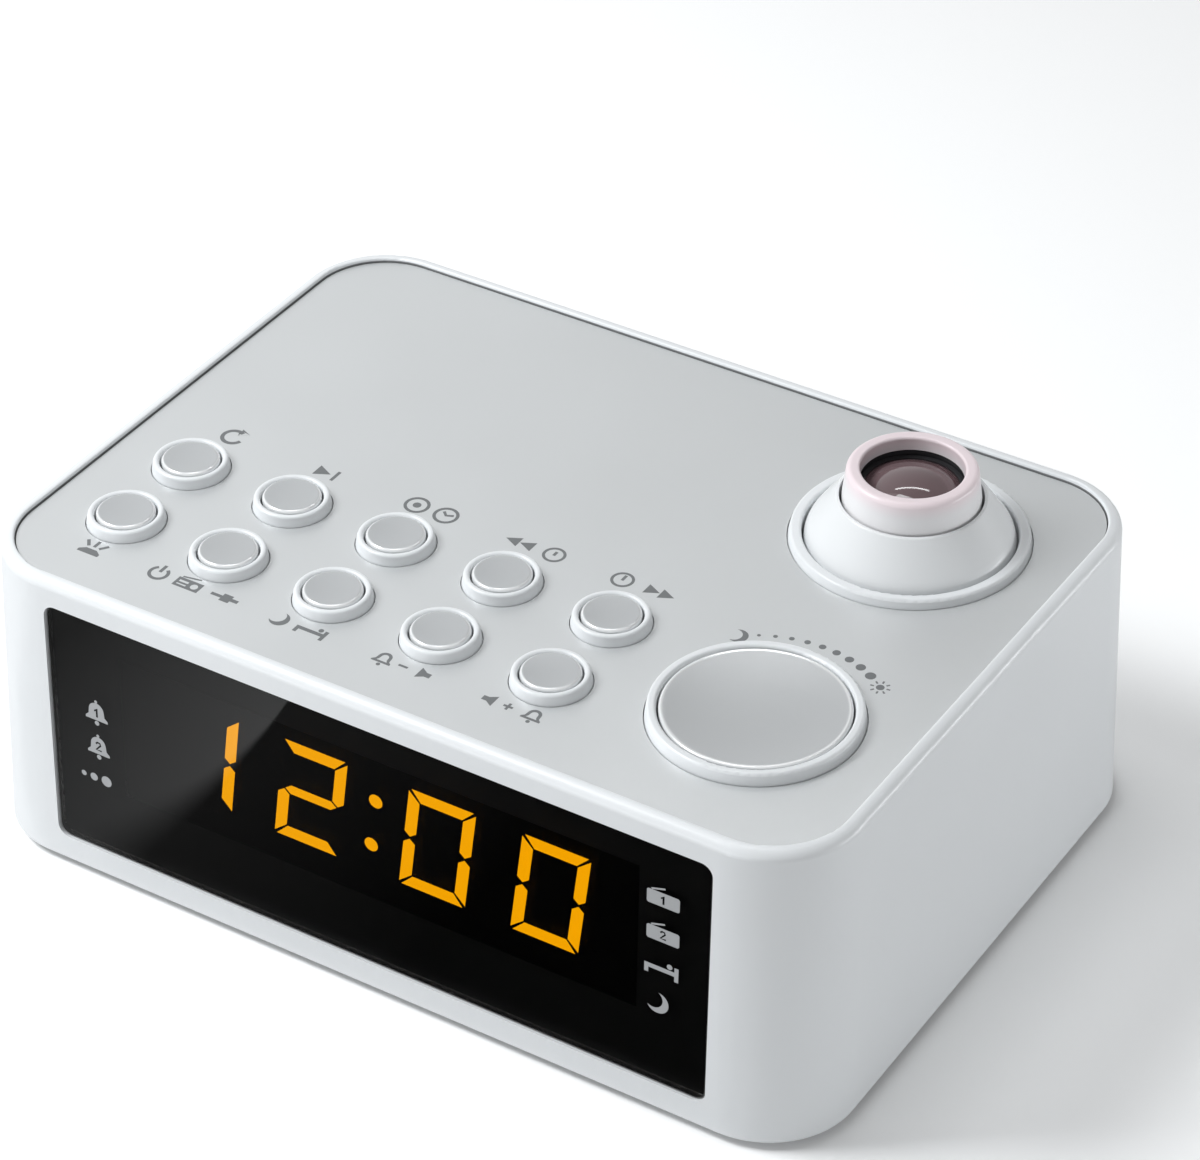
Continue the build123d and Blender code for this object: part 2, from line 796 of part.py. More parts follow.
with BuildPart() as base_cover:
    # Tray that fills the underside of the housing, with a locating lip
    for level in (z_bottom, z_cover):
        with BuildSketch(Plane.XY.offset(level)):
            with Locations((0, outline_middle(level))):
                RectangleRounded(*outline_size(level, wall + cover_gap))
    loft(ruled=True)
    for level in (z_cover, z_cover + cover_lip_height):
        with BuildSketch(Plane.XY.offset(level)):
            with Locations((0, outline_middle(level))):
                RectangleRounded(*outline_size(level, wall + cover_gap))
                RectangleRounded(*outline_size(level, wall + cover_gap + cover_lip_width), mode=Mode.SUBTRACT)
    loft(ruled=True)
    with Locations((0, -base_depth / 2, z_cover)):
        Box(
            lens_width + 4,
            4 * (wall + window_pad),
            cover_lip_height + 1,
            align=(Align.CENTER, Align.CENTER, Align.MIN),
            mode=Mode.SUBTRACT,
        )
    # Rails beside the battery door and the bay above it
    with BuildSketch(Plane.XY.offset(z_bottom)):
        with Locations((0, (door_front - 3 + rail_back) / 2)):
            Rectangle(2 * rail_half, rail_back - door_front + 3)
    extrude(amount=rail_height)
    with BuildSketch(Plane.XY.offset(z_bay)):
        with Locations((0, bay_middle)):
            Rectangle(2 * bay_outer_half, bay_length + 2 * bay_wall)
    extrude(amount=z_bay_top + bay_wall - z_bay)
    with BuildSketch(Plane.XY.offset(z_bottom)):
        with Locations((0, bay_middle)):
            Rectangle(2 * bay_half, bay_length)
    extrude(amount=z_bay_top - z_bottom, mode=Mode.SUBTRACT)
    # Door opening, open to the back, with a groove in each side
    with BuildSketch(Plane.XY.offset(z_bottom - 1)):
        with Locations((0, (door_front - door_gap + base_depth / 2) / 2)):
            Rectangle(2 * door_opening_half, base_depth / 2 - door_front + door_gap)
    extrude(amount=z_door + door_gap - z_bottom + 1, mode=Mode.SUBTRACT)
    with BuildSketch(Plane.XY.offset(z_tongue - door_gap)):
        with Locations((0, (door_front - door_gap + base_depth / 2) / 2)):
            Rectangle(2 * (tongue_half + door_side_gap), base_depth / 2 - door_front + door_gap)
    extrude(amount=door_tongue + 2 * door_gap, mode=Mode.SUBTRACT)
    # Pillars under the case screws
    with BuildSketch(Plane.XY.offset(z_cover)):
        with Locations(*case_screws):
            Circle(case_post_radius)
    extrude(amount=case_pillar_height - 0.2)
    with BuildSketch(Plane.XY.offset(z_bottom)):
        with Locations(*case_screws):
            Circle(case_screw_radius + 0.3)
    extrude(amount=z_pillar - z_bottom, mode=Mode.SUBTRACT)
    with BuildSketch(Plane.XY.offset(z_bottom)):
        with Locations(*case_screws):
            Circle(case_screw_head_radius + 0.4)
    extrude(amount=case_screw_sink + case_screw_head_height, mode=Mode.SUBTRACT)
    # Recesses for the feet
    with BuildSketch(Plane.XY.offset(z_bottom)):
        with Locations(*foot_places):
            Circle(foot_radius + 0.15)
    extrude(amount=foot_recess, mode=Mode.SUBTRACT)
    # Speaker seat, its fence and the slots under the cone
    with BuildSketch(Plane.XY.offset(z_cover)):
        with Locations((speaker_x, speaker_y)):
            Circle(speaker_radius + 2.0)
            Circle(speaker_radius - 2.5, mode=Mode.SUBTRACT)
    extrude(amount=speaker_seat_height)
    with BuildSketch(Plane.XY.offset(z_seat)):
        with Locations((speaker_x, speaker_y)):
            Circle(speaker_radius + 2.0)
            Circle(speaker_radius + 0.3, mode=Mode.SUBTRACT)
    extrude(amount=speaker_flange + 1.0)
    with BuildSketch(Plane.XY.offset(z_bottom)):
        for index in range(slot_count):
            offset_y = (index - (slot_count - 1) / 2) * slot_pitch
            reach = ((speaker_radius - 4.0) ** 2 - offset_y**2) ** 0.5
            with Locations((speaker_x, speaker_y + offset_y)):
                SlotOverall(2 * reach, slot_width)
    extrude(amount=cover_thickness, mode=Mode.SUBTRACT)
    # Posts for the main board, on the cover and on the battery bay
    with BuildSketch(Plane.XY.offset(z_cover)):
        with Locations(*main_board_posts):
            Circle(boss_radius)
    extrude(amount=main_board_level - z_cover)
    with BuildSketch(Plane.XY.offset(z_bay_top)):
        with Locations(*bay_posts):
            Circle(boss_radius)
    extrude(amount=main_board_level - z_bay_top)
    with BuildSketch(Plane.XY.offset(main_board_level)):
        with Locations(*main_board_posts):
            Circle(screw_radius + screw_gap)
    extrude(amount=-(screw_length - board_thickness + 0.3), mode=Mode.SUBTRACT)
    with BuildSketch(Plane.XY.offset(main_board_level)):
        with Locations(*bay_posts):
            Circle(screw_radius + screw_gap)
    extrude(amount=-(bay_screw_grip + 0.2), mode=Mode.SUBTRACT)
    # Two saddles that carry the ferrite rod
    with BuildSketch(Plane.YZ.offset(rod_x)):
        with Locations((rod_y, z_cover)):
            Rectangle(2 * rod_radius + 4, rod_level, align=(Align.CENTER, Align.MIN))
        with Locations((rod_y, z_cover + rod_level)):
            Circle(rod_radius + 0.1, mode=Mode.SUBTRACT)
    extrude(amount=saddle_spread / 2 + saddle_width / 2, both=True)
    with Locations((rod_x, rod_y, z_cover)):
        Box(
            saddle_spread - saddle_width,
            4 * rod_radius,
            rod_level + 1,
            align=(Align.CENTER, Align.CENTER, Align.MIN),
            mode=Mode.SUBTRACT,
        )
save(base_cover, "base_cover")

with BuildPart() as battery_door:
    with BuildSketch(Plane.XY.offset(z_bottom)):
        with Locations((0, (door_front + back_y(z_bottom)) / 2)):
            Rectangle(2 * door_half, back_y(z_bottom) - door_front)
    extrude(amount=door_skin)
    with BuildSketch(Plane.XY.offset(z_tongue)):
        with Locations((0, (door_front + back_y(z_bottom)) / 2)):
            Rectangle(2 * tongue_half, back_y(z_bottom) - door_front)
    extrude(amount=door_tongue)
    # Back edge follows the lean of the back wall
    back_lean = radians(side_draft)
    back_cut = Plane(origin=(0, back_y(z_bottom), z_bottom), z_dir=(0, cos(back_lean), sin(back_lean)))
    split(bisect_by=back_cut, keep=Keep.BOTTOM)
    # Grip grooves for a finger
    with BuildSketch(Plane.XY.offset(z_bottom)):
        with GridLocations(0, 1.8, 1, 3):
            with Locations((0, bay_back - 5)):
                SlotOverall(14, 0.8)
    extrude(amount=0.4, mode=Mode.SUBTRACT)
save(battery_door, "battery_door")

# ---------------------------------------------------------------- battery contacts
cell_rows = [bay_middle - cell_radius - bay_play / 4, bay_middle + cell_radius + bay_play / 4]
z_cell = z_bay + cell_radius
plate_x = bay_half - contact_thickness / 2

with BuildPart() as battery_contacts:
    for side in (-1, 1):
        with Locations(*[(side * plate_x, row, z_cell) for row in cell_rows]):
            Box(contact_thickness, 2 * cell_radius - 1.5, 2 * cell_radius - 2)
save(battery_contacts, "battery_contacts")

spring_room = contact_room - contact_thickness - spring_wire
with BuildPart() as spring:
    with BuildLine() as coil:
        Helix(pitch=spring_room / spring_turns, height=spring_room, radius=spring_radius)
    with BuildSketch(Plane(origin=coil.line @ 0, z_dir=coil.line % 0)):
        RegularPolygon(spring_wire, 8)
    sweep(is_frenet=True)

with BuildPart() as battery_springs:
    for side, row in ((-1, cell_rows[0]), (1, cell_rows[1])):
        seat_x = side * (bay_half - contact_thickness - spring_wire)
        with Locations(Location((seat_x, row, z_cell), (0, -90 * side, 0))):
            add(spring.part)
save(battery_springs, "battery_springs")

# ---------------------------------------------------------------- feet and screws
with BuildPart() as rubber_feet:
    with BuildSketch():
        with Locations(*foot_places):
            Circle(foot_radius)
    extrude(amount=z_bottom + foot_recess)
    fillet(rubber_feet.edges().group_by(Axis.Z)[0], 0.5)
save(rubber_feet, "rubber_feet")

case_screw_length = z_pillar - (z_bottom + case_screw_sink + case_screw_head_height) + case_screw_grip
case_screw = make_screw(case_screw_radius, case_screw_head_radius, case_screw_head_height, case_screw_length)
with BuildPart() as case_screw_set:
    for x, y in case_screws:
        with Locations(Location((x, y, z_bottom + case_screw_sink + case_screw_head_height), (180, 0, 0))):
            add(case_screw)
save(case_screw_set, "case_screws")

board_screw = make_screw(screw_radius, screw_head_radius, screw_head_height, screw_length)
bay_screw = make_screw(screw_radius, screw_head_radius, screw_head_height, bay_screw_grip + board_thickness)
ear_screw_length = tube_flange_thickness + ear_screw_grip
ear_screw = make_screw(screw_radius, screw_head_radius, screw_head_height, ear_screw_length)
with BuildPart() as board_screws:
    for x, y in key_board_bosses:
        with Locations(Location((x, y, z_key_board - board_thickness), (180, 0, 0))):
            add(board_screw)
    for x, y in display_screws:
        seat = front_plane.offset(-module_back - board_thickness)
        with Locations(seat.location * Location((x, y, 0), (180, 0, 0))):
            add(board_screw)
    for x, y in main_board_posts:
        with Locations((x, y, z_main)):
            add(board_screw)
    for x, y in bay_posts:
        with Locations((x, y, z_main)):
            add(bay_screw)
    for x, y in ear_places:
        with Locations(Location((x, y, z_tube_flange), (180, 0, 0))):
            add(ear_screw)
save(board_screws, "board_screws")

# ---------------------------------------------------------------- speaker
z_speaker = z_seat
z_basket = z_speaker + speaker_flange
z_speaker_top = z_speaker + speaker_height
z_magnet = z_speaker_top - speaker_magnet_height
cone_edge = speaker_radius - 3.0
coil_neck = 6.0

with BuildPart() as speaker_frame:
    with BuildSketch(Plane.XZ):
        with BuildLine():
            Polyline(
                (cone_edge, z_speaker),
                (speaker_radius, z_speaker),
                (speaker_radius, z_basket),
                (cone_edge + 0.8, z_basket),
                (speaker_magnet_radius - 0.5, z_magnet),
                (coil_neck + 1.0, z_magnet),
                (coil_neck + 1.0, z_magnet - 1.0),
                (speaker_magnet_radius - 1.2, z_magnet - 1.0),
                (cone_edge, z_basket - 0.4),
                close=True,
            )
        make_face()
    revolve(axis=Axis.Z)
    with BuildSketch(Plane.XY.offset(z_basket + 1.2)):
        with PolarLocations((speaker_magnet_radius + cone_edge) / 2 + 0.5, 4):
            SlotOverall(11, 4.5, rotation=90)
    extrude(amount=speaker_height, mode=Mode.SUBTRACT)
speaker_frame.part.position = (speaker_x, speaker_y, 0)
save(speaker_frame, "speaker_frame")

with BuildPart() as speaker_magnet:
    with Locations((speaker_x, speaker_y, z_magnet)):
        Cylinder(speaker_magnet_radius, speaker_magnet_height, align=(Align.CENTER, Align.CENTER, Align.MIN))
    fillet(speaker_magnet.edges().filter_by(GeomType.CIRCLE), 0.5)
save(speaker_magnet, "speaker_magnet")

z_surround = z_speaker + 0.3
z_neck = z_magnet - 1.3
with BuildPart() as speaker_cone:
    with BuildSketch(Plane.XZ):
        with BuildLine():
            Polyline(
                (coil_neck, z_neck),
                (coil_neck + 0.6, z_neck),
                (cone_edge - 4.0, z_surround + 0.5),
                (cone_edge - 0.1, z_surround + 0.5),
                (cone_edge - 0.1, z_surround),
                (cone_edge - 4.2, z_surround),
                (coil_neck, z_neck - 1.1),
                close=True,
            )
        make_face()
        with BuildLine():
            Polyline(
                (0, z_neck - 2.4),
                (0, z_neck - 0.5),
                (coil_neck, z_neck - 0.5),
                (coil_neck, z_neck - 1.1),
            )
            cap_arc(coil_neck, z_neck - 1.1, -1.3)
        make_face()
    revolve(axis=Axis.Z)
speaker_cone.part.position = (speaker_x, speaker_y, 0)
save(speaker_cone, "speaker_cone")

# ---------------------------------------------------------------- main board and what it carries
with BuildPart() as main_board:
    with BuildSketch(Plane.XY.offset(main_board_level)):
        board_middle_y = (main_board_front + main_board_back) / 2
        with Locations(((main_board_left + main_board_right) / 2, board_middle_y)):
            Rectangle(main_board_right - main_board_left, main_board_back - main_board_front)
        with Locations(*main_board_posts, *bay_posts):
            Circle(screw_radius + 0.3, mode=Mode.SUBTRACT)
    extrude(amount=board_thickness)
save(main_board, "main_board")

with BuildPart() as radio_chip:
    with Locations((main_board_right - 30.0, main_board_front + 14.0, z_main)):
        Box(12, 12, 1.8, align=(Align.CENTER, Align.CENTER, Align.MIN))
    chamfer(radio_chip.edges().group_by(Axis.Z)[-1], 0.3)
save(radio_chip, "radio_chip")

with BuildPart() as tuner_can:
    with Locations((main_board_right - 16.0, main_board_front + 9.0, z_main)):
        Box(10, 10, 11, align=(Align.CENTER, Align.CENTER, Align.MIN))
    fillet(tuner_can.edges().filter_by(Axis.Z), 0.8)
save(tuner_can, "tuner_can")

with BuildPart() as capacitors:
    row = [main_board_left + capacitor_first + capacitor_pitch * i for i in range(capacitor_count)]
    with Locations(*[(x, main_board_front + 5.0, z_main) for x in row]):
        Cylinder(3.2, 11, align=(Align.CENTER, Align.CENTER, Align.MIN))
    fillet(capacitors.edges().filter_by(GeomType.CIRCLE).group_by(Axis.Z)[-1], 0.5)
save(capacitors, "capacitors")


def make_socket(body, nose_radius, bore_radius, bore_depth):
    """Socket body on the board with a round nose; its bore opens towards +Y at the origin."""
    nose = 1.0
    with BuildPart() as socket:
        with Locations((0, -nose, 0)):
            Box(*body, align=(Align.CENTER, Align.MAX, Align.CENTER))
        with BuildSketch(Plane.XZ.offset(nose)):
            Circle(nose_radius)
        extrude(amount=-nose)
        with BuildSketch(Plane.XZ):
            Circle(bore_radius)
        extrude(amount=bore_depth, mode=Mode.SUBTRACT)
    return socket.part


audio_mouth = back_y(z_audio) - wall - socket_wall_gap
power_mouth = back_y(z_power) - wall - socket_wall_gap
with BuildPart() as audio_socket:
    with Locations((audio_x, audio_mouth, z_audio)):
        add(make_socket(audio_body, audio_nose_radius, audio_bore_radius, audio_bore_depth))
save(audio_socket, "audio_socket")

with BuildPart() as power_socket:
    with Locations((power_x, power_mouth, z_power)):
        add(make_socket(power_body, power_nose_radius, power_bore_radius, power_bore_depth))
    with BuildSketch(Plane.XZ.offset(-power_mouth + power_bore_depth)):
        with Locations((power_x, z_power)):
            Circle(power_pin_radius)
    extrude(amount=-(power_bore_depth - 1.0))
save(power_socket, "power_socket")

# ---------------------------------------------------------------- ferrite rod aerial
z_rod = z_cover + rod_level
with BuildPart() as ferrite_rod:
    with Locations(Location((rod_x, rod_y, z_rod), (0, 90, 0))):
        Cylinder(rod_radius, rod_length)
    chamfer(ferrite_rod.edges().filter_by(GeomType.CIRCLE), 0.4)
save(ferrite_rod, "ferrite_rod")

with BuildPart() as aerial_coil:
    with Locations(Location((rod_x, rod_y, z_rod), (0, 90, 0))):
        Cylinder(coil_radius, coil_length)
        Cylinder(rod_radius + 0.05, coil_length + 2, mode=Mode.SUBTRACT)
save(aerial_coil, "aerial_coil")

# ---------------------------------------------------------------- projector
sleeve_radius = cup_radius + cup_wall / 2
dome_inner = dome_radius - dome_wall
with BuildPart() as projector_dome:
    with BuildSketch(Plane.XZ) as dome_section:
        with BuildLine():
            Polyline(
                (dome_inner, z_dome_flange),
                (dome_flange_radius, z_dome_flange),
                (dome_flange_radius, z_ceiling),
                (dome_radius, z_ceiling),
                (dome_radius, z_plate + dome_shoulder),
                (dome_bore + dome_rim, z_dome_top),
                (dome_bore, z_dome_top),
                (dome_bore, z_sleeve),
                (sleeve_radius, z_sleeve),
                (sleeve_radius, z_sleeve + 2.4),
                (dome_inner, z_sleeve + 1.2),
                close=True,
            )
        make_face()
        shoulder = dome_section.vertices().sort_by_distance((dome_radius, z_plate + dome_shoulder, 0))[0]
        fillet(shoulder, dome_foot_rounding)
        crown = dome_section.vertices().sort_by_distance((dome_bore + dome_rim, z_dome_top, 0))[0]
        fillet(crown, dome_rim * 0.8)
    revolve(axis=Axis.Z)
projector_dome.part.position = (*projector_place, 0)
save(projector_dome, "projector_dome")

with BuildPart() as projector_tube:
    # Turned form: lens guide, cup that the focus ring turns in, flange and lower tube
    with BuildSketch(Plane.XZ):
        with BuildLine():
            Polyline(
                (tube_radius - tube_wall, tube_bottom),
                (tube_radius, tube_bottom),
                (tube_radius, z_tube_flange),
                (dome_flange_radius, z_tube_flange),
                (dome_flange_radius, z_dome_flange),
                (cup_radius + cup_wall, z_dome_flange),
                (cup_radius + cup_wall, z_cup_rim),
                (cup_radius, z_cup_rim),
                (cup_radius, z_cup),
                (guide_radius, z_cup),
                (guide_radius, z_guide_top),
                (guide_inner_radius, z_guide_top),
                (guide_inner_radius, z_tube_flange + 3.0),
                (tube_radius - tube_wall, z_tube_flange),
                (tube_radius - tube_wall, condenser_level),
                (tube_radius - tube_wall - condenser_ledge, condenser_level),
                (tube_radius - tube_wall - condenser_ledge, condenser_level - 1.5),
                (tube_radius - tube_wall, condenser_level - 1.5),
                close=True,
            )
        make_face()
    revolve(axis=Axis.Z)
    # Ears for the screws and lugs for the board
    with BuildSketch(Plane.XY.offset(z_tube_flange)):
        with PolarLocations(ear_reach, len(ear_angles), start_angle=ear_angles[0]):
            Circle(ear_radius)
        with PolarLocations((ear_reach + dome_flange_radius) / 2, len(ear_angles), start_angle=ear_angles[0]):
            Rectangle(ear_reach - dome_flange_radius + 2, 2 * ear_radius)
    extrude(amount=tube_flange_thickness)
    with BuildSketch(Plane.XY.offset(tube_bottom)):
        for side in (-1, 1):
            with Locations((side * lug_reach, 0)):
                Circle(boss_radius)
            with Locations((side * (lug_reach + tube_radius) / 2, 0)):
                Rectangle(lug_reach - tube_radius + 1, 2 * boss_radius)
    extrude(amount=screw_length + 1)
    with BuildSketch(Plane.XY.offset(z_tube_flange)):
        with PolarLocations(ear_reach, len(ear_angles), start_angle=ear_angles[0]):
            Circle(screw_radius + screw_gap)
    extrude(amount=tube_flange_thickness, mode=Mode.SUBTRACT)
    with BuildSketch(Plane.XY.offset(tube_bottom)):
        with Locations((-lug_reach, 0), (lug_reach, 0)):
            Circle(screw_radius + screw_gap)
    extrude(amount=screw_length - board_thickness + 0.3, mode=Mode.SUBTRACT)
    # Upright slots that keep the lens carrier from turning
    slot_low = z_pins + pin_low - pin_radius - 2 * pin_gap
    slot_high = z_pins + pin_high + pin_radius + 2 * pin_gap
    with BuildSketch(Plane.XY.offset(slot_low)):
        for angle in pin_angles:
            with PolarLocations(guide_radius, 1, start_angle=angle):
                Rectangle(4 * guide_wall, 2 * (pin_radius + pin_gap))
    extrude(amount=slot_high - slot_low, mode=Mode.SUBTRACT)
    # Slot that the projector's display glass slides into from the side
    with Locations((glass_size[0] / 4, 0, glass_level)):
        Box(
            glass_size[0] * 1.5 + 2 * glass_gap,
            glass_size[1] + 2 * glass_gap,
            glass_size[2] + 2 * glass_gap,
            align=(Align.CENTER, Align.CENTER, Align.MIN),
            mode=Mode.SUBTRACT,
        )
projector_tube.part.position = (*projector_place, 0)
save(projector_tube, "projector_tube")

# Cutter for one cam groove: it climbs clockwise, so that turning the ring anticlockwise lifts the pins.
groove_turn = focus_max - focus_min + 2 * groove_reach
with BuildPart() as groove_cutter:
    with BuildLine() as cam_line:
        Helix(
            pitch=focus_rise * 360,
            height=focus_rise * groove_turn,
            radius=ring_inner_radius,
            lefthand=True,
        )
    with BuildSketch(Plane(origin=cam_line.line @ 0, x_dir=(1, 0, 0), z_dir=cam_line.line % 0)):
        Rectangle(2 * groove_depth, groove_width)
    sweep(is_frenet=True)

with BuildPart() as focus_ring:
    # Turned form: barrel with a rounded lip, open skirt and foot flange
    with BuildSketch(Plane.XZ) as ring_section:
        with BuildLine():
            Polyline(
                (ring_inner_radius, z_ring_bottom),
                (focus_flange_radius, z_ring_bottom),
                (focus_flange_radius, z_cup_rim),
                (focus_radius, z_cup_rim),
                (focus_radius, z_dome_top),
                (focus_top_radius, z_ring_top),
                (focus_opening, z_ring_top),
                (focus_opening, z_lip),
                (ring_inner_radius, z_lip),
                close=True,
            )
        make_face()
        lip_corners = ring_section.vertices().group_by(Axis.Y)[-1].sort_by(Axis.X)
        fillet(lip_corners[-1], focus_rounding)
        fillet(ring_section.vertices().group_by(Axis.Y)[-1].sort_by(Axis.X)[0], focus_rounding / 2)
    revolve(axis=Axis.Z)
    # Three helical grooves inside, one for each pin of the lens carrier
    for angle in pin_angles:
        with Locations(Location((0, 0, z_pins + pin_low - groove_reach * focus_rise), (0, 0, 0))):
            add(groove_cutter.part, rotation=(0, 0, angle - focus_min + groove_reach), mode=Mode.SUBTRACT)
focus_ring.part.position = (*projector_place, 0)
save(focus_ring, "focus_ring")

with BuildPart() as lens_carrier:
    with BuildSketch(Plane.XZ):
        with BuildLine():
            Polyline(
                (carrier_radius - carrier_wall, z_carrier_bottom),
                (carrier_radius, z_carrier_bottom),
                (carrier_radius, z_carrier_top),
                (lens_radius + lens_seat_gap, z_carrier_top),
                (lens_radius + lens_seat_gap, z_carrier_top - lens_edge - 0.2),
                (carrier_radius - carrier_wall, z_carrier_top - lens_edge - 0.2),
                close=True,
            )
        make_face()
    revolve(axis=Axis.Z)
    for angle in pin_angles:
        pin_plane = Plane(
            origin=(0, 0, z_pins),
            x_dir=(0, 0, 1),
            z_dir=(cos(radians(angle)), sin(radians(angle)), 0),
        )
        with BuildSketch(pin_plane.offset(carrier_radius - carrier_wall / 2)):
            Circle(pin_radius)
        extrude(amount=ring_inner_radius + groove_depth - carrier_radius + carrier_wall / 2 - pin_gap)
lens_carrier.part.position = (*projector_place, 0)
save(lens_carrier, "lens_carrier")


def make_lens(radius, edge, crown, bottom):
    """Plano-convex lens, flat side down."""
    with BuildPart() as lens:
        with BuildSketch(Plane.XZ):
            with BuildLine():
                Polyline((0, bottom + edge + crown), (0, bottom), (radius, bottom), (radius, bottom + edge))
                cap_arc(radius, bottom + edge, crown)
            make_face()
        revolve(axis=Axis.Z)
    return lens.part


with BuildPart() as projection_lens:
    with Locations(projector_place):
        add(make_lens(lens_radius, lens_edge, lens_crown, z_carrier_top - lens_edge - 0.2))
save(projection_lens, "projection_lens")

with BuildPart() as condenser_lens:
    with Locations(projector_place):
        condenser_radius = tube_radius - tube_wall - lens_seat_gap
        add(make_lens(condenser_radius, condenser_edge, condenser_crown, condenser_level))
save(condenser_lens, "condenser_lens")

with BuildPart() as projector_glass:
    with Locations((*projector_place, glass_level + glass_gap)):
        Box(*glass_size, align=(Align.CENTER, Align.CENTER, Align.MIN))
save(projector_glass, "projector_glass")

with BuildPart() as projector_board:
    with BuildSketch(Plane.XY.offset(tube_bottom)):
        with Locations(projector_place):
            Rectangle(*projector_board_size)
        with Locations(*[(projector_place[0] + side * lug_reach, projector_place[1]) for side in (-1, 1)]):
            Circle(screw_radius + 0.3, mode=Mode.SUBTRACT)
    extrude(amount=-board_thickness)
save(projector_board, "projector_board")

with BuildPart() as projector_screws:
    for side in (-1, 1):
        place = (projector_place[0] + side * lug_reach, projector_place[1], tube_bottom - board_thickness)
        with Locations(Location(place, (180, 0, 0))):
            add(board_screw)
save(projector_screws, "projector_screws")

with BuildPart() as projector_led:
    with Locations((*projector_place, tube_bottom)):
        Box(led_size, led_size, led_height, align=(Align.CENTER, Align.CENTER, Align.MIN))
    with Locations((*projector_place, tube_bottom + led_height)):
        Sphere(led_dome_radius, arc_size1=0, align=(Align.CENTER, Align.CENTER, Align.NONE))
save(projector_led, "projector_led")
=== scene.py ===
# %% [markdown]
# # A white projection alarm clock
#
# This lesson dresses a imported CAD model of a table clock. The clock has a white moulded
# housing, a silver inlay on top, round keys in raised collars, a smoked display lens with
# amber figures behind it, and a small ceiling projector with a focus ring.
# The shapes that move or carry something come from CAD. Here they get their finishes, the
# printed signs, and the small things that CAD leaves out.

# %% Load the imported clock
import math

import bpy
from mathutils import Matrix, Vector


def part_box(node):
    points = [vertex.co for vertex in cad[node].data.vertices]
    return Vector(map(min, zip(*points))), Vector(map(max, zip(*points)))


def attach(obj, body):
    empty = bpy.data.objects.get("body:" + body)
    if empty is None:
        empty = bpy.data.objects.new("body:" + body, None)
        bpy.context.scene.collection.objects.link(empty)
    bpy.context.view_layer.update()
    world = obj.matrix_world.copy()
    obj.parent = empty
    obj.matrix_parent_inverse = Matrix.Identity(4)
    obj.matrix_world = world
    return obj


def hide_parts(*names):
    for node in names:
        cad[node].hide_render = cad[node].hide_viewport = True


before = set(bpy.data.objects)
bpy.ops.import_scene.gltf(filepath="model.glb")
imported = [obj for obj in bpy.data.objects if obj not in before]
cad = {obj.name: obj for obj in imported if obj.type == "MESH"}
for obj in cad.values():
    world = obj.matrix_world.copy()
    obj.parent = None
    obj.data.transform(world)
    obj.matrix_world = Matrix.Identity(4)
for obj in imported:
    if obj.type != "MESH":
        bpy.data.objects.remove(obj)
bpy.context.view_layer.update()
MM = 0.001

# %% [markdown]
# ## Places that everything else is measured from
#
# The signs are printed on the silver plate and on the front of the lens, so both planes are
# read from the CAD model. The front of the housing leans back a little: the lens plane
# gets its own axes, across and up the lens.

# %% Read the plate and the lens plane
plate_low, plate_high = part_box("top_plate")
PLATE_TOP = plate_high.z
PLATE_Y = (plate_low.y + plate_high.y) / 2
FRONT_LEAN = math.radians(2.4)
LENS_THICKNESS = 2.0 * MM
lens_low, lens_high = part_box("display_lens")
lens_middle = (lens_low + lens_high) / 2
lens_normal = Vector((0, -math.cos(FRONT_LEAN), math.sin(FRONT_LEAN)))
lens_up = Vector((0, math.sin(FRONT_LEAN), math.cos(FRONT_LEAN)))
LENS_FRONT = Matrix.Translation(lens_middle + lens_normal * LENS_THICKNESS / 2) @ Matrix(
    ((1, 0, 0, 0), (0, lens_up.y, lens_normal.y, 0), (0, lens_up.z, lens_normal.z, 0), (0, 0, 0, 1))
)
PLATE_PLANE = Matrix.Translation((0, PLATE_Y, PLATE_TOP))
ring_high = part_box("focus_ring")[1]
snooze_low, snooze_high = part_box("snooze_key")
SNOOZE = (snooze_low + snooze_high) / 2
print("plate top", round(PLATE_TOP / MM, 2), "lens middle", [round(v / MM, 2) for v in lens_middle])

# %% [markdown]
# ## Plastics
#
# Moulded plastic is never quite even. A fine grain from the mould breaks up the gloss, and
# the gloss itself changes a little from place to place. Both come from noise on Object
# coordinates, which are metres here, so a noise scale of 2000 gives grains of half a
# millimetre.


# %% A helper for moulded and painted finishes
GLOSS_PATCHES = 38.0  # noise scale of the slow change in gloss and tint


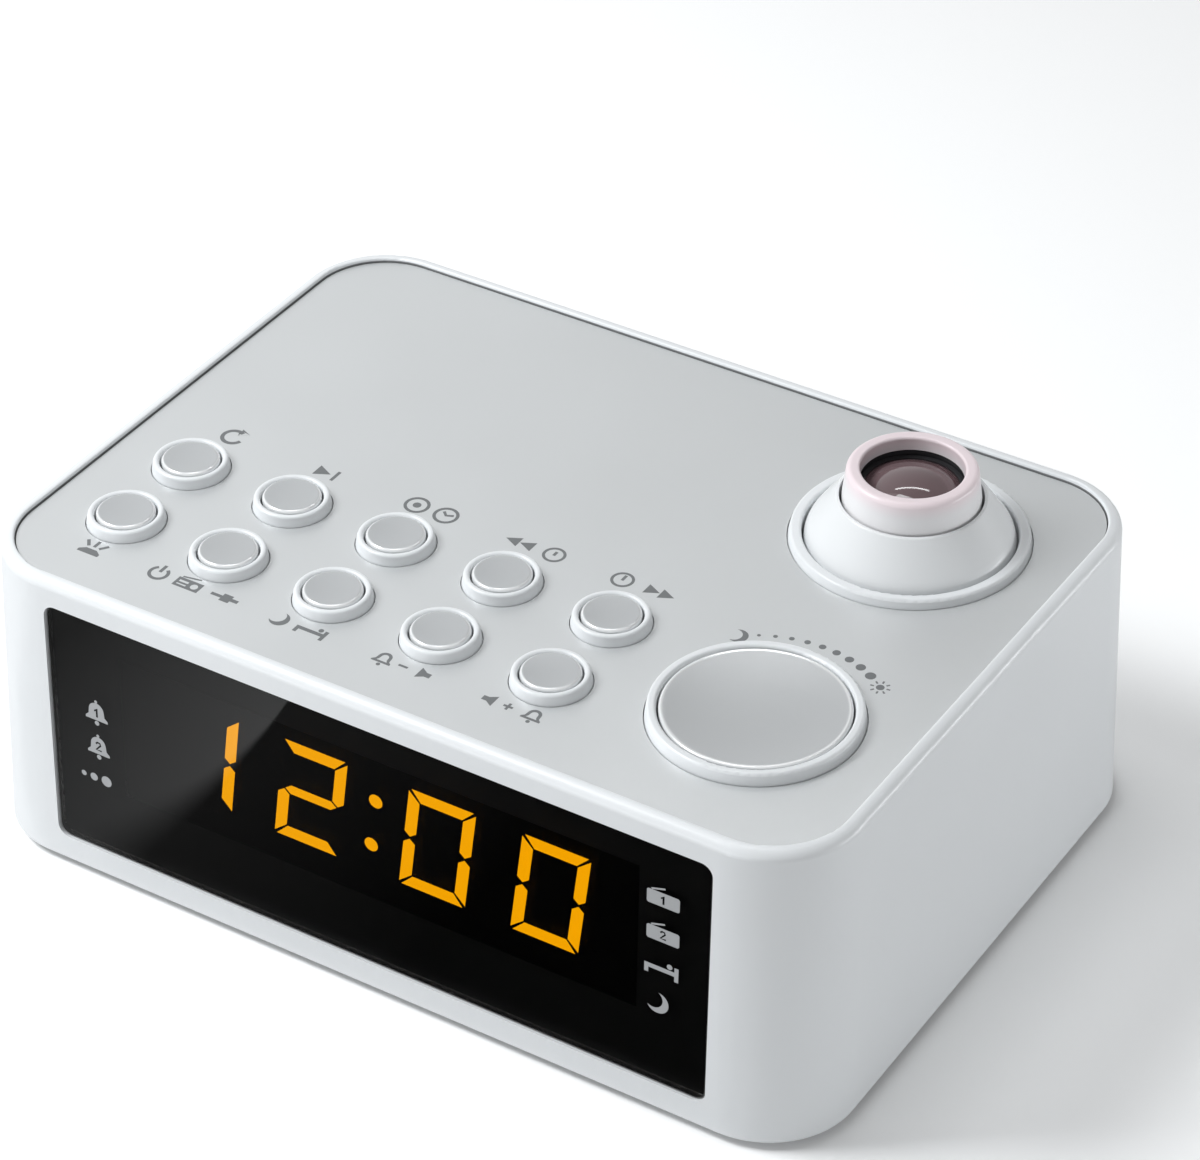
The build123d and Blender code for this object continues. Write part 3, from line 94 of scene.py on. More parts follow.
def moulded(name, color, roughness, grain=2600.0, depth=0.02, variation=0.05, mottle=0.02, **settings):
    """Plastic or paint: an even colour, a fine grain in the bump and a slow change in the gloss."""
    material = bpy.data.materials.new(name)
    material.use_nodes = True
    tree = material.node_tree
    shader = tree.nodes["Principled BSDF"]
    shader.inputs["Roughness"].default_value = roughness
    for socket, value in settings.items():
        shader.inputs[socket.replace("_", " ")].default_value = value
    place = tree.nodes.new("ShaderNodeTexCoord")
    slow = tree.nodes.new("ShaderNodeTexNoise")
    slow.inputs["Scale"].default_value = GLOSS_PATCHES
    slow.inputs["Detail"].default_value = 3.0
    tree.links.new(place.outputs["Object"], slow.inputs["Vector"])
    gloss = tree.nodes.new("ShaderNodeMapRange")
    gloss.inputs["To Min"].default_value = roughness - variation
    gloss.inputs["To Max"].default_value = roughness + variation
    tree.links.new(slow.outputs["Fac"], gloss.inputs["Value"])
    tree.links.new(gloss.outputs["Result"], shader.inputs["Roughness"])
    tint = tree.nodes.new("ShaderNodeMix")
    tint.data_type = "RGBA"
    tint.inputs["A"].default_value = (*[c * (1 - mottle) for c in color], 1)
    tint.inputs["B"].default_value = (*[min(c * (1 + mottle), 1) for c in color], 1)
    tree.links.new(slow.outputs["Fac"], tint.inputs["Factor"])
    tree.links.new(tint.outputs["Result"], shader.inputs["Base Color"])
    fine = tree.nodes.new("ShaderNodeTexNoise")
    fine.inputs["Scale"].default_value = grain
    fine.inputs["Detail"].default_value = 2.0
    tree.links.new(place.outputs["Object"], fine.inputs["Vector"])
    bump = tree.nodes.new("ShaderNodeBump")
    bump.inputs["Strength"].default_value = depth
    bump.inputs["Distance"].default_value = 0.0001
    tree.links.new(fine.outputs["Fac"], bump.inputs["Height"])
    tree.links.new(bump.outputs["Normal"], shader.inputs["Normal"])
    return material


# %% The plastics and paints of the case
white_gloss = moulded("housing white", (0.85, 0.87, 0.885), 0.30, depth=0.03)
dome_white = moulded("dome white", (0.81, 0.825, 0.835), 0.26, depth=0.02)
ring_white = moulded("ring white", (0.88, 0.87, 0.88), 0.34, depth=0.03)
silver_paint = moulded(
    "plate silver", (0.625, 0.64, 0.646), 0.40, grain=5200.0, depth=0.08, mottle=0.012, Metallic=0.6
)
black_plastic = moulded("black plastic", (0.022, 0.022, 0.024), 0.42, depth=0.05)
module_black = moulded("module black", (0.016, 0.016, 0.017), 0.5, depth=0.0)
print("plastics:", [m.name for m in bpy.data.materials])

# %% [markdown]
# Some finishes change from place to place. Four small helpers write that down: one lays a
# second colour over the first, one turns a value into a share, one does sums, and one gives
# the place itself.


# %% Helpers for finishes that change from place to place
def coat(material, share, color):
    """Blends a second colour into a material, by a share from 0 to 1."""
    tree = material.node_tree
    shader = tree.nodes["Principled BSDF"]
    blend = tree.nodes.new("ShaderNodeMix")
    blend.data_type = "RGBA"
    blend.inputs["B"].default_value = (*color, 1)
    tree.links.new(share, blend.inputs["Factor"])
    tree.links.new(shader.inputs["Base Color"].links[0].from_socket, blend.inputs["A"])
    tree.links.new(blend.outputs["Result"], shader.inputs["Base Color"])


def ramp(tree, value, start, end, low=0.0, high=1.0, smooth=False):
    """A value that goes from low to high while another goes from start to end."""
    node = tree.nodes.new("ShaderNodeMapRange")
    node.interpolation_type = "SMOOTHSTEP" if smooth else "LINEAR"
    tree.links.new(value, node.inputs["Value"])
    for name, setting in (("From Min", start), ("From Max", end), ("To Min", low), ("To Max", high)):
        if isinstance(setting, bpy.types.NodeSocket):
            tree.links.new(setting, node.inputs[name])
        else:
            node.inputs[name].default_value = setting
    return node.outputs["Result"]


def maths(tree, operation, first, second=None):
    """One sum on values, which are sockets or numbers."""
    node = tree.nodes.new("ShaderNodeMath")
    node.operation = operation
    for spot, value in zip(node.inputs, (first, second)):
        if isinstance(value, bpy.types.NodeSocket):
            tree.links.new(value, spot)
        elif value is not None:
            spot.default_value = value
    return node.outputs["Value"]


def place_xyz(tree):
    """The three Object coordinates, in metres."""
    place = tree.nodes.new("ShaderNodeTexCoord")
    split = tree.nodes.new("ShaderNodeSeparateXYZ")
    tree.links.new(place.outputs["Object"], split.inputs["Vector"])
    return split.outputs["X"], split.outputs["Y"], split.outputs["Z"]


# %% [markdown]
# Two places need a second colour. The red light from inside is painted on the thin lip of the focus ring,
# as a pink in its colour.
# And the shade in the seam round the top plate is painted as a grey line at the foot of the rim.

# %% Painted red light on the ring and painted shade in the seam round the plate
height = place_xyz(ring_white.node_tree)[2]
# Painted light: the ring turns pink towards its lip, for the red light that shines from inside.
LIP_HEIGHT, PAINTED_RED_LIGHT_PINK = 3.2 * MM, (0.90, 0.78, 0.81)
painted_red_light_share = ramp(ring_white.node_tree, height, ring_high.z - LIP_HEIGHT, ring_high.z, smooth=True)
coat(ring_white, painted_red_light_share, PAINTED_RED_LIGHT_PINK)

# The foot of the rim is a rounded rectangle, so the painted shade of the seam needs the distance from one.
SEAM_TOP, SEAM_FADE, SEAM_HALF_WIDTH = 0.24 * MM, 0.12 * MM, 0.9 * MM
SEAM_SHADE_GREY = (0.25, 0.255, 0.26)
AT_EDGE = 0.01 * MM
edge_run = [v.co.y for v in cad["top_plate"].data.vertices if v.co.x > plate_high.x - AT_EDGE]
PLATE_CORNER = plate_high.y - max(edge_run)
tree = white_gloss.node_tree
x, y, z = place_xyz(tree)
squares = []
for reach, middle, straight in (
    (x, 0.0, plate_high.x - PLATE_CORNER),
    (y, PLATE_Y, plate_high.y - PLATE_Y - PLATE_CORNER),
):
    away = maths(tree, "ABSOLUTE", maths(tree, "SUBTRACT", reach, middle))
    past_straight = maths(tree, "MAXIMUM", maths(tree, "SUBTRACT", away, straight), 0.0)
    squares.append(maths(tree, "POWER", past_straight, 2.0))
past = maths(tree, "SQRT", maths(tree, "ADD", *squares))
at_rim = maths(tree, "COMPARE", past, PLATE_CORNER)
at_rim.node.inputs[2].default_value = SEAM_HALF_WIDTH
foot = ramp(tree, z, PLATE_TOP + SEAM_TOP + SEAM_FADE, PLATE_TOP + SEAM_TOP, smooth=True)
# Painted shade: the grey stands for the shadow in the gap between the plate and the rim.
coat(white_gloss, maths(tree, "MULTIPLY", at_rim, foot), SEAM_SHADE_GREY)
print("corner of the plate", round(PLATE_CORNER / MM, 2), "mm")


# %% Give a CAD node a finish
def finish_node(material, *names):
    """Puts one material on whole CAD nodes."""
    for name in names:
        mesh = cad[name].data
        mesh.materials.clear()
        mesh.materials.append(material)


finish_node(white_gloss, "upper_housing", "base_cover", "battery_door")
finish_node(dome_white, "projector_dome")
finish_node(ring_white, "focus_ring")
finish_node(silver_paint, "top_plate")

# %% [markdown]
# In each front corner a rib inside the housing ends a quarter of a millimetre outside the wall.
# The housing that is seen is a copy in which the tip of that rib lies on the wall, shaded as
# the wall is.

# %% Level the two rib tips in the front corners
RIB_TIP = Vector((73.95, -44.90, 49.80)) * MM
ON_WALL = Vector((73.715, -44.797, 49.80)) * MM
CORNER_AXIS = Vector((61.35, -39.13)) * MM
WALL_RISE = 0.042  # how much the leaning wall looks up
SAME_POINT = 0.03 * MM
shell_mesh = cad["upper_housing"].data.copy()
shell_mesh.name = "housing_shell"
tips = set()
for vertex in shell_mesh.vertices:
    side = math.copysign(1, vertex.co.x)
    if (Vector((abs(vertex.co.x), vertex.co.y, vertex.co.z)) - RIB_TIP).length < SAME_POINT:
        vertex.co = (side * ON_WALL.x, ON_WALL.y, ON_WALL.z)
        tips.add(vertex.index)
corner_normals = [Vector(corner.vector) for corner in shell_mesh.corner_normals]
for face in shell_mesh.polygons:
    if tips.intersection(face.vertices):
        for corner in face.loop_indices:
            spot = shell_mesh.vertices[shell_mesh.loops[corner].vertex_index].co
            side = math.copysign(1, spot.x)
            outward = (Vector((abs(spot.x), spot.y)) - CORNER_AXIS).normalized()
            corner_normals[corner] = Vector((side * outward.x, outward.y, WALL_RISE)).normalized()
shell_mesh.normals_split_custom_set(corner_normals)
housing_shell = bpy.data.objects.new("housing_shell", shell_mesh)
bpy.context.scene.collection.objects.link(housing_shell)
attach(housing_shell, "housing_body")
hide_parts("upper_housing")
print("rib tips levelled:", len(tips), "points")

# %% [markdown]
# ## Keys
#
# A key cap is sprayed silver on top, and its bevelled edge stays polished and bright. Both
# belong to one moulding, so they share a material that looks at which way the surface faces:
# level is painted, sloping is polished. The snooze key is dished, so its own material
# measures the distance from the middle of the key instead.

# %% Two finishes on one cap
LEVEL, SLOPING = 0.992, 0.9  # how far upwards a surface faces, on the top and on the edge
EDGE_FADE = 0.3 * MM  # the paint of the dished key ends over this distance


def cap_finish(name, top_color, top_roughness, centre=None, edge_radius=0.0):
    """Satin silver paint on the level top and a polished bright edge."""
    material = moulded(name, top_color, top_roughness, grain=5200.0, depth=0.05, Metallic=0.35)
    tree = material.node_tree
    top = tree.nodes["Principled BSDF"]
    edge = tree.nodes.new("ShaderNodeBsdfPrincipled")
    edge.inputs["Base Color"].default_value = (0.86, 0.87, 0.875, 1)
    edge.inputs["Metallic"].default_value = 0.25
    edge.inputs["Roughness"].default_value = 0.12
    share = tree.nodes.new("ShaderNodeMapRange")
    share.interpolation_type = "SMOOTHSTEP"
    if centre is None:
        facing = tree.nodes.new("ShaderNodeNewGeometry")
        split = tree.nodes.new("ShaderNodeSeparateXYZ")
        tree.links.new(facing.outputs["Normal"], split.inputs["Vector"])
        tree.links.new(split.outputs["Z"], share.inputs["Value"])
        share.inputs["From Min"].default_value = LEVEL
        share.inputs["From Max"].default_value = SLOPING
    else:
        place = tree.nodes.new("ShaderNodeTexCoord")
        reach = tree.nodes.new("ShaderNodeVectorMath")
        reach.operation = "DISTANCE"
        tree.links.new(place.outputs["Object"], reach.inputs[0])
        reach.inputs[1].default_value = centre
        tree.links.new(reach.outputs["Value"], share.inputs["Value"])
        share.inputs["From Min"].default_value = edge_radius - EDGE_FADE
        share.inputs["From Max"].default_value = edge_radius
    both = tree.nodes.new("ShaderNodeMixShader")
    tree.links.new(share.outputs["Result"], both.inputs["Fac"])
    tree.links.new(top.outputs["BSDF"], both.inputs[1])
    tree.links.new(edge.outputs["BSDF"], both.inputs[2])
    tree.links.new(both.outputs["Shader"], tree.nodes["Material Output"].inputs["Surface"])
    return material


key_caps = [name for name in cad if name.startswith("key_") and name != "key_board"]
finish_node(cap_finish("key cap", (0.49, 0.503, 0.512), 0.36), *key_caps)
SNOOZE_EDGE = 13.7 * MM
snooze_crest = Vector((SNOOZE.x, SNOOZE.y, snooze_high.z))
snooze_paint = cap_finish("snooze cap", (0.505, 0.517, 0.525), 0.34, snooze_crest, SNOOZE_EDGE)
finish_node(snooze_paint, "snooze_key")
print(len(key_caps), "small caps, and the snooze cap at", [round(v / MM, 2) for v in snooze_crest])

# %% [markdown]
# ## The display
#
# The lens is a smoked acrylic sheet. It lets a sixth of the light through, so the lit bars
# shine and everything unlit behind it stays dark. The lit bars are a flat amber glow.

# %% Smoked lens and amber bars
smoked = bpy.data.materials.new("smoked acrylic")
smoked.use_nodes = True
shader = smoked.node_tree.nodes["Principled BSDF"]
shader.inputs["Base Color"].default_value = (0.16, 0.155, 0.15, 1)
shader.inputs["Roughness"].default_value = 0.0
shader.inputs["IOR"].default_value = 1.44
shader.inputs["Transmission Weight"].default_value = 1.0
finish_node(smoked, "display_lens")

amber = bpy.data.materials.new("amber light")
amber.use_nodes = True
shader = amber.node_tree.nodes["Principled BSDF"]
shader.inputs["Base Color"].default_value = (0.3, 0.15, 0.01, 1)
shader.inputs["Emission Color"].default_value = (1.0, 0.43, 0.0, 1)
shader.inputs["Emission Strength"].default_value = 6.0
finish_node(amber, "time_digits")
finish_node(module_black, "display_module", "dark_segments")

# %% [markdown]
# ## Printed signs
#
# Each sign is a flat drawing in millimetres: a list of closed outlines, where an outline
# inside another is a hole. A 2D curve fills such a drawing in one step, and a tiny extrusion
# gives the ink its thickness. Lines are drawn by giving a path a width.

# %% Small drawing helpers
def disc(x, y, radius, count=28):
    """A round outline."""
    turn = 2 * math.pi / count
    return [(x + radius * math.cos(i * turn), y + radius * math.sin(i * turn)) for i in range(count)]


def arc(x, y, radius, start, end, count=18):
    """Points along an arc, in degrees."""
    steps = [math.radians(start + (end - start) * i / (count - 1)) for i in range(count)]
    return [(x + radius * math.cos(a), y + radius * math.sin(a)) for a in steps]


def line(points, width):
    """The outline of a line of some width along a path."""
    left, right_side = [], []
    for i, point in enumerate(points):
        before = Vector(points[max(i - 1, 0)])
        after = Vector(points[min(i + 1, len(points) - 1)])
        along = (after - before).normalized()
        across = Vector((-along.y, along.x)) * width / 2
        left.append(tuple(Vector(point) + across))
        right_side.append(tuple(Vector(point) - across))
    return left + right_side[::-1]


def moved(outlines, x=0.0, y=0.0, size=1.0, turn=0.0):
    """A drawing moved, scaled and turned by degrees."""
    c, s = math.cos(math.radians(turn)) * size, math.sin(math.radians(turn)) * size
    return [[(x + c * px - s * py, y + s * px + c * py) for px, py in outline] for outline in outlines]


def mirrored(outlines):
    """A drawing turned left to right."""
    return [[(-px, py) for px, py in outline] for outline in outlines]


def print_sign(name, plane, outlines, material, body="housing_body", thickness=0.012):
    """Fills the outlines on a plane and makes them a thin mesh that rides on a body."""
    curve = bpy.data.curves.new(name, "CURVE")
    curve.dimensions = "2D"
    curve.fill_mode = "BOTH"
    for outline in outlines:
        spline = curve.splines.new("POLY")
        spline.points.add(len(outline) - 1)
        for point, (x, y) in zip(spline.points, outline):
            point.co = (x * MM, y * MM, 0, 1)
        spline.use_cyclic_u = True
    curve.extrude = thickness * MM
    holder = bpy.data.objects.new(name + "_curve", curve)
    bpy.context.scene.collection.objects.link(holder)
    mesh = bpy.data.meshes.new_from_object(holder.evaluated_get(bpy.context.evaluated_depsgraph_get()))
    bpy.data.objects.remove(holder)
    mesh.transform(plane)
    mesh.name = name
    mesh.materials.clear()
    mesh.materials.append(material)
    sign = bpy.data.objects.new(name, mesh)
    bpy.context.scene.collection.objects.link(sign)
    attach(sign, body)
    return sign


# %% [markdown]
# The drawings themselves are the ones that any such clock could have: arrows, a clock face,
# a power sign, a moon, a bed, a bell and a loudspeaker.

# %% Drawings, each about 3 mm high
forward = [[(-1.0, -1.0), (1.0, 0.0), (-1.0, 1.0)]]
fast_forward = moved(forward, -1.15) + moved(forward, 0.95)
skip = moved(forward, -0.55, 0, 0.95) + [[(0.85, -0.95), (1.25, -0.95), (1.25, 0.95), (0.85, 0.95)]]
ring_face = [disc(0, 0, 1.9), disc(0, 0, 1.42)]
clock_hands = [line([(-0.75, 0.7), (0, 0), (1.0, 0.45)], 0.46)]
clock_face = ring_face + clock_hands
dot_face = ring_face + [disc(0, 0, 0.62, 16)]
power = [line(arc(0, -0.15, 1.35, 125, 415, 26), 0.52), line([(0, 0.1), (0, 1.75)], 0.52)]
turn_arrow = [
    line(arc(0, 0, 1.35, 60, 345, 26), 0.52),
    [(0.15, 1.95), (1.6, 1.35), (0.35, 0.5)],
]
moon = moved([arc(0, 0, 1.35, -120, 120, 22) + arc(-0.66, 0, 1.17, 92, -92, 18)], turn=-35)
bed = [
    [(-2.3, -1.15), (-1.75, -1.15), (-1.75, -0.4), (1.75, -0.4), (1.75, -1.15), (2.3, -1.15), (2.3, 0.9),
     (1.75, 0.9), (1.75, 0.22), (-2.3, 0.22)],
    disc(1.1, 0.72, 0.38, 14),
]
bell_shape = (
    [(-1.45, -0.9), (-1.45, -0.62), (-1.05, -0.25)]
    + arc(0, 0.35, 0.98, 172, 8, 14)
    + [(1.05, -0.25), (1.45, -0.62), (1.45, -0.9)]
)
bell = [bell_shape, disc(0, -1.28, 0.3, 12), disc(0, 1.5, 0.2, 10)]
bell_line = [
    bell_shape,
    [(-0.8, -0.5), (-0.58, -0.15)] + arc(0, 0.35, 0.52, 170, 10, 12) + [(0.58, -0.15), (0.8, -0.5)],
    disc(0, -1.28, 0.3, 12),
]
speaker = [[(-1.2, -0.42), (-0.45, -0.42), (0.55, -1.05), (0.55, 1.05), (-0.45, 0.42), (-1.2, 0.42)]]
minus = [[(-0.62, -0.17), (0.62, -0.17), (0.62, 0.17), (-0.62, 0.17)]]
plus = [
    [(-0.17, -0.62), (0.17, -0.62), (0.17, -0.17), (0.62, -0.17), (0.62, 0.17), (0.17, 0.17), (0.17, 0.62),
     (-0.17, 0.62), (-0.17, 0.17), (-0.62, 0.17), (-0.62, -0.17), (-0.17, -0.17)]
]
radio = [
    [(-2.1, -1.2), (2.1, -1.2), (2.1, 0.85), (-2.1, 0.85)],
    disc(1.05, -0.2, 0.58, 16),
    [(-1.65, -0.75), (-0.1, -0.75), (-0.1, -0.48), (-1.65, -0.48)],
    [(-1.65, -0.1), (-0.1, -0.1), (-0.1, 0.32), (-1.65, 0.32)],
    line([(-1.7, 1.05), (1.1, 1.6)], 0.3),
]
plug = [
    [(-1.9, -0.24), (-0.4, -0.24), (-0.4, -0.7), (0.9, -0.7), (0.9, -0.28), (1.9, -0.28), (1.9, 0.28),
     (0.9, 0.28), (0.9, 0.7), (-0.4, 0.7), (-0.4, 0.24), (-1.9, 0.24)],
]
beam = [
    [(-1.5, -1.2), (1.5, -1.2), (1.5, -0.75), (0.75, -0.2), (-0.75, -0.2), (-1.5, -0.75)],
    line([(0, 0.25), (0, 1.5)], 0.42),
    line([(-0.75, 0.2), (-1.5, 1.2)], 0.42),
    line([(0.75, 0.2), (1.5, 1.2)], 0.42),
]
sun = [disc(0, 0, 0.62, 18)] + [
    moved([line([(0.95, 0), (1.5, 0)], 0.28)], turn=45 * i)[0] for i in range(8)
]
print("drawings ready")

# %% Signs on the silver plate
ink = moulded("grey ink", (0.16, 0.168, 0.172), 0.6, depth=0.0)
BACK_ROW, FRONT_ROW = -6.7, -42.0
plate_signs = {
    "sign_rotate": moved(turn_arrow, -57.9, BACK_ROW + 0.3, 1.3),
    "sign_next": moved(skip, -39.2, BACK_ROW - 0.2, 1.4),
    "sign_memory": moved(dot_face, -22.4, BACK_ROW, 1.12),
    "sign_clock": moved(clock_face, -17.0, BACK_ROW, 1.12),
    "sign_hour_back": moved(mirrored(fast_forward), -3.5, BACK_ROW, 1.2),
    "sign_hour": moved(ring_face + [line([(0, -0.2), (0, 0.85)], 0.5)], 2.9, BACK_ROW, 1.0),
    "sign_minute": moved(ring_face + [line([(0, -0.2), (0, 1.2)], 0.5)], 15.2, BACK_ROW, 1.0),
    "sign_minute_on": moved(fast_forward, 22.0, BACK_ROW, 1.2),
    "sign_projection": moved(beam, -58.4, FRONT_ROW - 0.2, 1.3),
    "sign_power": moved(power, -45.9, FRONT_ROW + 0.1, 1.1),
    "sign_radio": moved(radio, -40.3, FRONT_ROW, 1.1),
    "sign_plug": moved(plug, -33.6, FRONT_ROW, 1.3),
    "sign_moon": moved(moon, -23.4, FRONT_ROW, 1.2),
    "sign_bed": moved(bed, -17.6, FRONT_ROW, 1.15),
    "sign_bell_down": moved(bell_line, -4.5, FRONT_ROW, 1.15),
    "sign_minus": moved(minus, -1.0, FRONT_ROW, 1.3),
    "sign_speaker_down": moved(mirrored(speaker), 2.4, FRONT_ROW, 1.2),
    "sign_speaker_up": moved(speaker, 14.5, FRONT_ROW, 1.2),
    "sign_plus": moved(plus, 17.5, FRONT_ROW, 1.3),
    "sign_bell_up": moved(bell_line, 21.8, FRONT_ROW, 1.15),
}
for name, outlines in plate_signs.items():
    print_sign(name, PLATE_PLANE, outlines, ink)
print(len(plate_signs), "signs on the plate")

# %% [markdown]
# ## The dimmer's arc of dots
#
# Over the snooze key an arc of signs says that the same key dims the display: a moon, dots
# that grow, and a sun. The dots repeat by a rule, so Geometry Nodes make them: points along
# an arc, a flat disc on each, scaled by its place in the row.

# %% A node tree for a row of growing dots
def socket(tree, name, kind, value):
    """Adds a named input with a default to a node tree."""
    made = tree.interface.new_socket(name, in_out="INPUT", socket_type=kind)
    if value is not None:
        made.default_value = value
    return made


def growing_dots():
    """Discs along an arc in the XY plane, from a small one to a large one."""
    tree = bpy.data.node_groups.new("growing dots", "GeometryNodeTree")
    for name, value in (("Arc Radius", 0.02), ("Start Angle", 0.0), ("Sweep", 1.0), ("Smallest", 0.0002),
                        ("Largest", 0.0006), ("Thickness", 0.00002)):
        socket(tree, name, "NodeSocketFloat", value)
    socket(tree, "Count", "NodeSocketInt", 9)
    socket(tree, "Ink", "NodeSocketMaterial", None)
    tree.interface.new_socket("Dots", in_out="OUTPUT", socket_type="NodeSocketGeometry")
    node, link = tree.nodes.new, tree.links.new
    sizes, result = node("NodeGroupInput"), node("NodeGroupOutput")
    path = node("GeometryNodeCurveArc")
    path.inputs["Resolution"].default_value = 64
    link(sizes.outputs["Arc Radius"], path.inputs["Radius"])
    link(sizes.outputs["Start Angle"], path.inputs["Start Angle"])
    link(sizes.outputs["Sweep"], path.inputs["Sweep Angle"])
    points = node("GeometryNodeCurveToPoints")
    link(path.outputs["Curve"], points.inputs["Curve"])
    link(sizes.outputs["Count"], points.inputs["Count"])
    disc_mesh = node("GeometryNodeMeshCylinder")
    disc_mesh.inputs["Vertices"].default_value = 20
    disc_mesh.inputs["Radius"].default_value = 1.0
    link(sizes.outputs["Thickness"], disc_mesh.inputs["Depth"])
    last = node("ShaderNodeMath")
    last.operation = "SUBTRACT"
    link(sizes.outputs["Count"], last.inputs[0])
    last.inputs[1].default_value = 1
    growth = node("ShaderNodeMapRange")
    link(node("GeometryNodeInputIndex").outputs["Index"], growth.inputs["Value"])
    link(last.outputs["Value"], growth.inputs["From Max"])
    link(sizes.outputs["Smallest"], growth.inputs["To Min"])
    link(sizes.outputs["Largest"], growth.inputs["To Max"])
    scale = node("ShaderNodeCombineXYZ")
    link(growth.outputs["Result"], scale.inputs["X"])
    link(growth.outputs["Result"], scale.inputs["Y"])
    scale.inputs["Z"].default_value = 1.0
    place = node("GeometryNodeInstanceOnPoints")
    link(points.outputs["Points"], place.inputs["Points"])
    link(disc_mesh.outputs["Mesh"], place.inputs["Instance"])
    link(scale.outputs["Vector"], place.inputs["Scale"])
    real = node("GeometryNodeRealizeInstances")
    link(place.outputs["Instances"], real.inputs["Geometry"])
    finish = node("GeometryNodeSetMaterial")
    link(real.outputs["Geometry"], finish.inputs["Geometry"])
    link(sizes.outputs["Ink"], finish.inputs["Material"])
    link(finish.outputs["Geometry"], result.inputs["Dots"])
    return tree


# %% Grow a plain mesh from a node tree
def grown(name, tree, values, plane, body="housing_body"):
    """Runs a node tree once, keeps its mesh, and lets the mesh ride on a body."""
    holder = bpy.data.objects.new(name + "_source", bpy.data.meshes.new(name + "_source"))
    bpy.context.scene.collection.objects.link(holder)
    modifier = holder.modifiers.new("nodes", "NODES")
    modifier.node_group = tree
    for item in tree.interface.items_tree:
        if item.in_out == "INPUT" and item.name in values:
            modifier[item.identifier] = values[item.name]
    mesh = bpy.data.meshes.new_from_object(holder.evaluated_get(bpy.context.evaluated_depsgraph_get()))
    holder.modifiers.remove(modifier)
    bpy.data.objects.remove(holder)
    mesh.transform(plane)
    piece = bpy.data.objects.new(name, mesh)
    bpy.context.scene.collection.objects.link(piece)
    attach(piece, body)
    print(name, len(mesh.polygons), "faces")
    return piece


# %% Dots, moon and sun round the snooze key
ARC_RADIUS, MOON_ANGLE, SUN_ANGLE = 19.6, 128.0, 52.0
DOTS_GAP = 9.0  # degrees from the moon or the sun to the nearest dot
snooze_plane = Matrix.Translation((SNOOZE.x, SNOOZE.y, PLATE_TOP))
dot_sizes = {
    "Arc Radius": ARC_RADIUS * MM,
    "Start Angle": math.radians(MOON_ANGLE - DOTS_GAP),
    "Sweep": math.radians(SUN_ANGLE - MOON_ANGLE + 2 * DOTS_GAP),
    "Smallest": 0.3 * MM,
    "Largest": 0.85 * MM,
    "Thickness": 0.024 * MM,
    "Count": 9,
    "Ink": ink,
}
grown("dimmer_dots", growing_dots(), dot_sizes, snooze_plane)
ends = (("dimmer_moon", moon, MOON_ANGLE, 1.15), ("dimmer_sun", sun, SUN_ANGLE, 1.05))
for name, drawing, angle, size in ends:
    x = ARC_RADIUS * math.cos(math.radians(angle))
    y = ARC_RADIUS * math.sin(math.radians(angle))
    print_sign(name, snooze_plane, moved(drawing, x, y, size, angle - 90), ink)

# %% [markdown]
# The back of the lens is printed black, apart from a window for the figures. The print hides
# the white ledge that the rim of the lens sits on. The grey signs are printed on its front.

# %% The black mask and the signs on the lens
LENS_PRINT = LENS_FRONT @ Matrix.Translation((0, 0, -LENS_THICKNESS + 0.03 * MM))
LENS_SIGNS = LENS_FRONT @ Matrix.Translation((0, 0, 0.006 * MM))
LENS_W, LENS_H = 118.5, 43.5
WINDOW_X, WINDOW_Y, WINDOW_RISE = 46.5, 13.0, 2.8
mask_black = moulded("mask black", (0.006, 0.006, 0.0065), 0.5, depth=0.0)


def rectangle(half_x, half_y, rise=0.0):
    """The outline of a rectangle about the middle of the lens."""
    low, high = rise - half_y, rise + half_y
    return [(-half_x, low), (half_x, low), (half_x, high), (-half_x, high)]


MASK_EDGE = 0.25
mask = [
    rectangle(LENS_W / 2 - MASK_EDGE, LENS_H / 2 - MASK_EDGE),
    rectangle(WINDOW_X, WINDOW_Y, WINDOW_RISE),
]
print_sign("lens_mask", LENS_PRINT, mask, mask_black, thickness=0.01)

lens_ink = moulded("lens ink", (0.42, 0.43, 0.44), 0.6, depth=0.0)
one = [[(-0.5, 0.35), (0.1, 0.75), (0.1, -0.75), (-0.22, -0.75), (-0.22, 0.25), (-0.5, 0.05)]]
two = [line([(-0.42, 0.38), (-0.15, 0.66), (0.25, 0.6), (0.36, 0.28), (-0.4, -0.6), (0.5, -0.6)], 0.28)]
radio_box = [
    [(-2.5, -1.5), (2.5, -1.5), (2.75, -1.25), (2.75, 0.75), (2.5, 1.0), (-2.5, 1.0), (-2.75, 0.75),
     (-2.75, -1.25)],
    line([(-2.0, 1.15), (0.3, 1.85)], 0.3),
]
doze = [disc(-2.0, 0, 0.42, 14), disc(-0.3, 0, 0.62, 16), disc(1.8, 0, 0.85, 18)]
lens_signs = {
    "sign_alarm_one": moved(bell + moved(one, 0.1, 0.1, 0.8), -50.6, 4.6, 1.45),
    "sign_alarm_two": moved(bell + moved(two, 0.0, 0.1, 0.8), -50.6, -1.9, 1.45),
    "sign_doze": moved(doze, -51.5, -8.0, 1.15),
    "sign_band_one": moved(radio_box + moved(one, 0.1, -0.25, 1.05), 51.2, 12.5, 1.0),
    "sign_band_two": moved(radio_box + moved(two, 0.0, -0.25, 1.05), 51.3, 6.1, 1.0),
    "sign_sleep": moved(bed, 51.2, -0.3, 1.25),
    "sign_night": moved(moon, 50.7, -6.8, 1.4),
}
for name, outlines in lens_signs.items():
    print_sign(name, LENS_SIGNS, outlines, lens_ink, thickness=0.005)
print(len(lens_signs), "signs on the lens")

# %% [markdown]
# ## The projector's lens
#
# The crown of clear glass has a coating that looks purple where it reflects. It stands in a
# black carrier, over a small lit display.

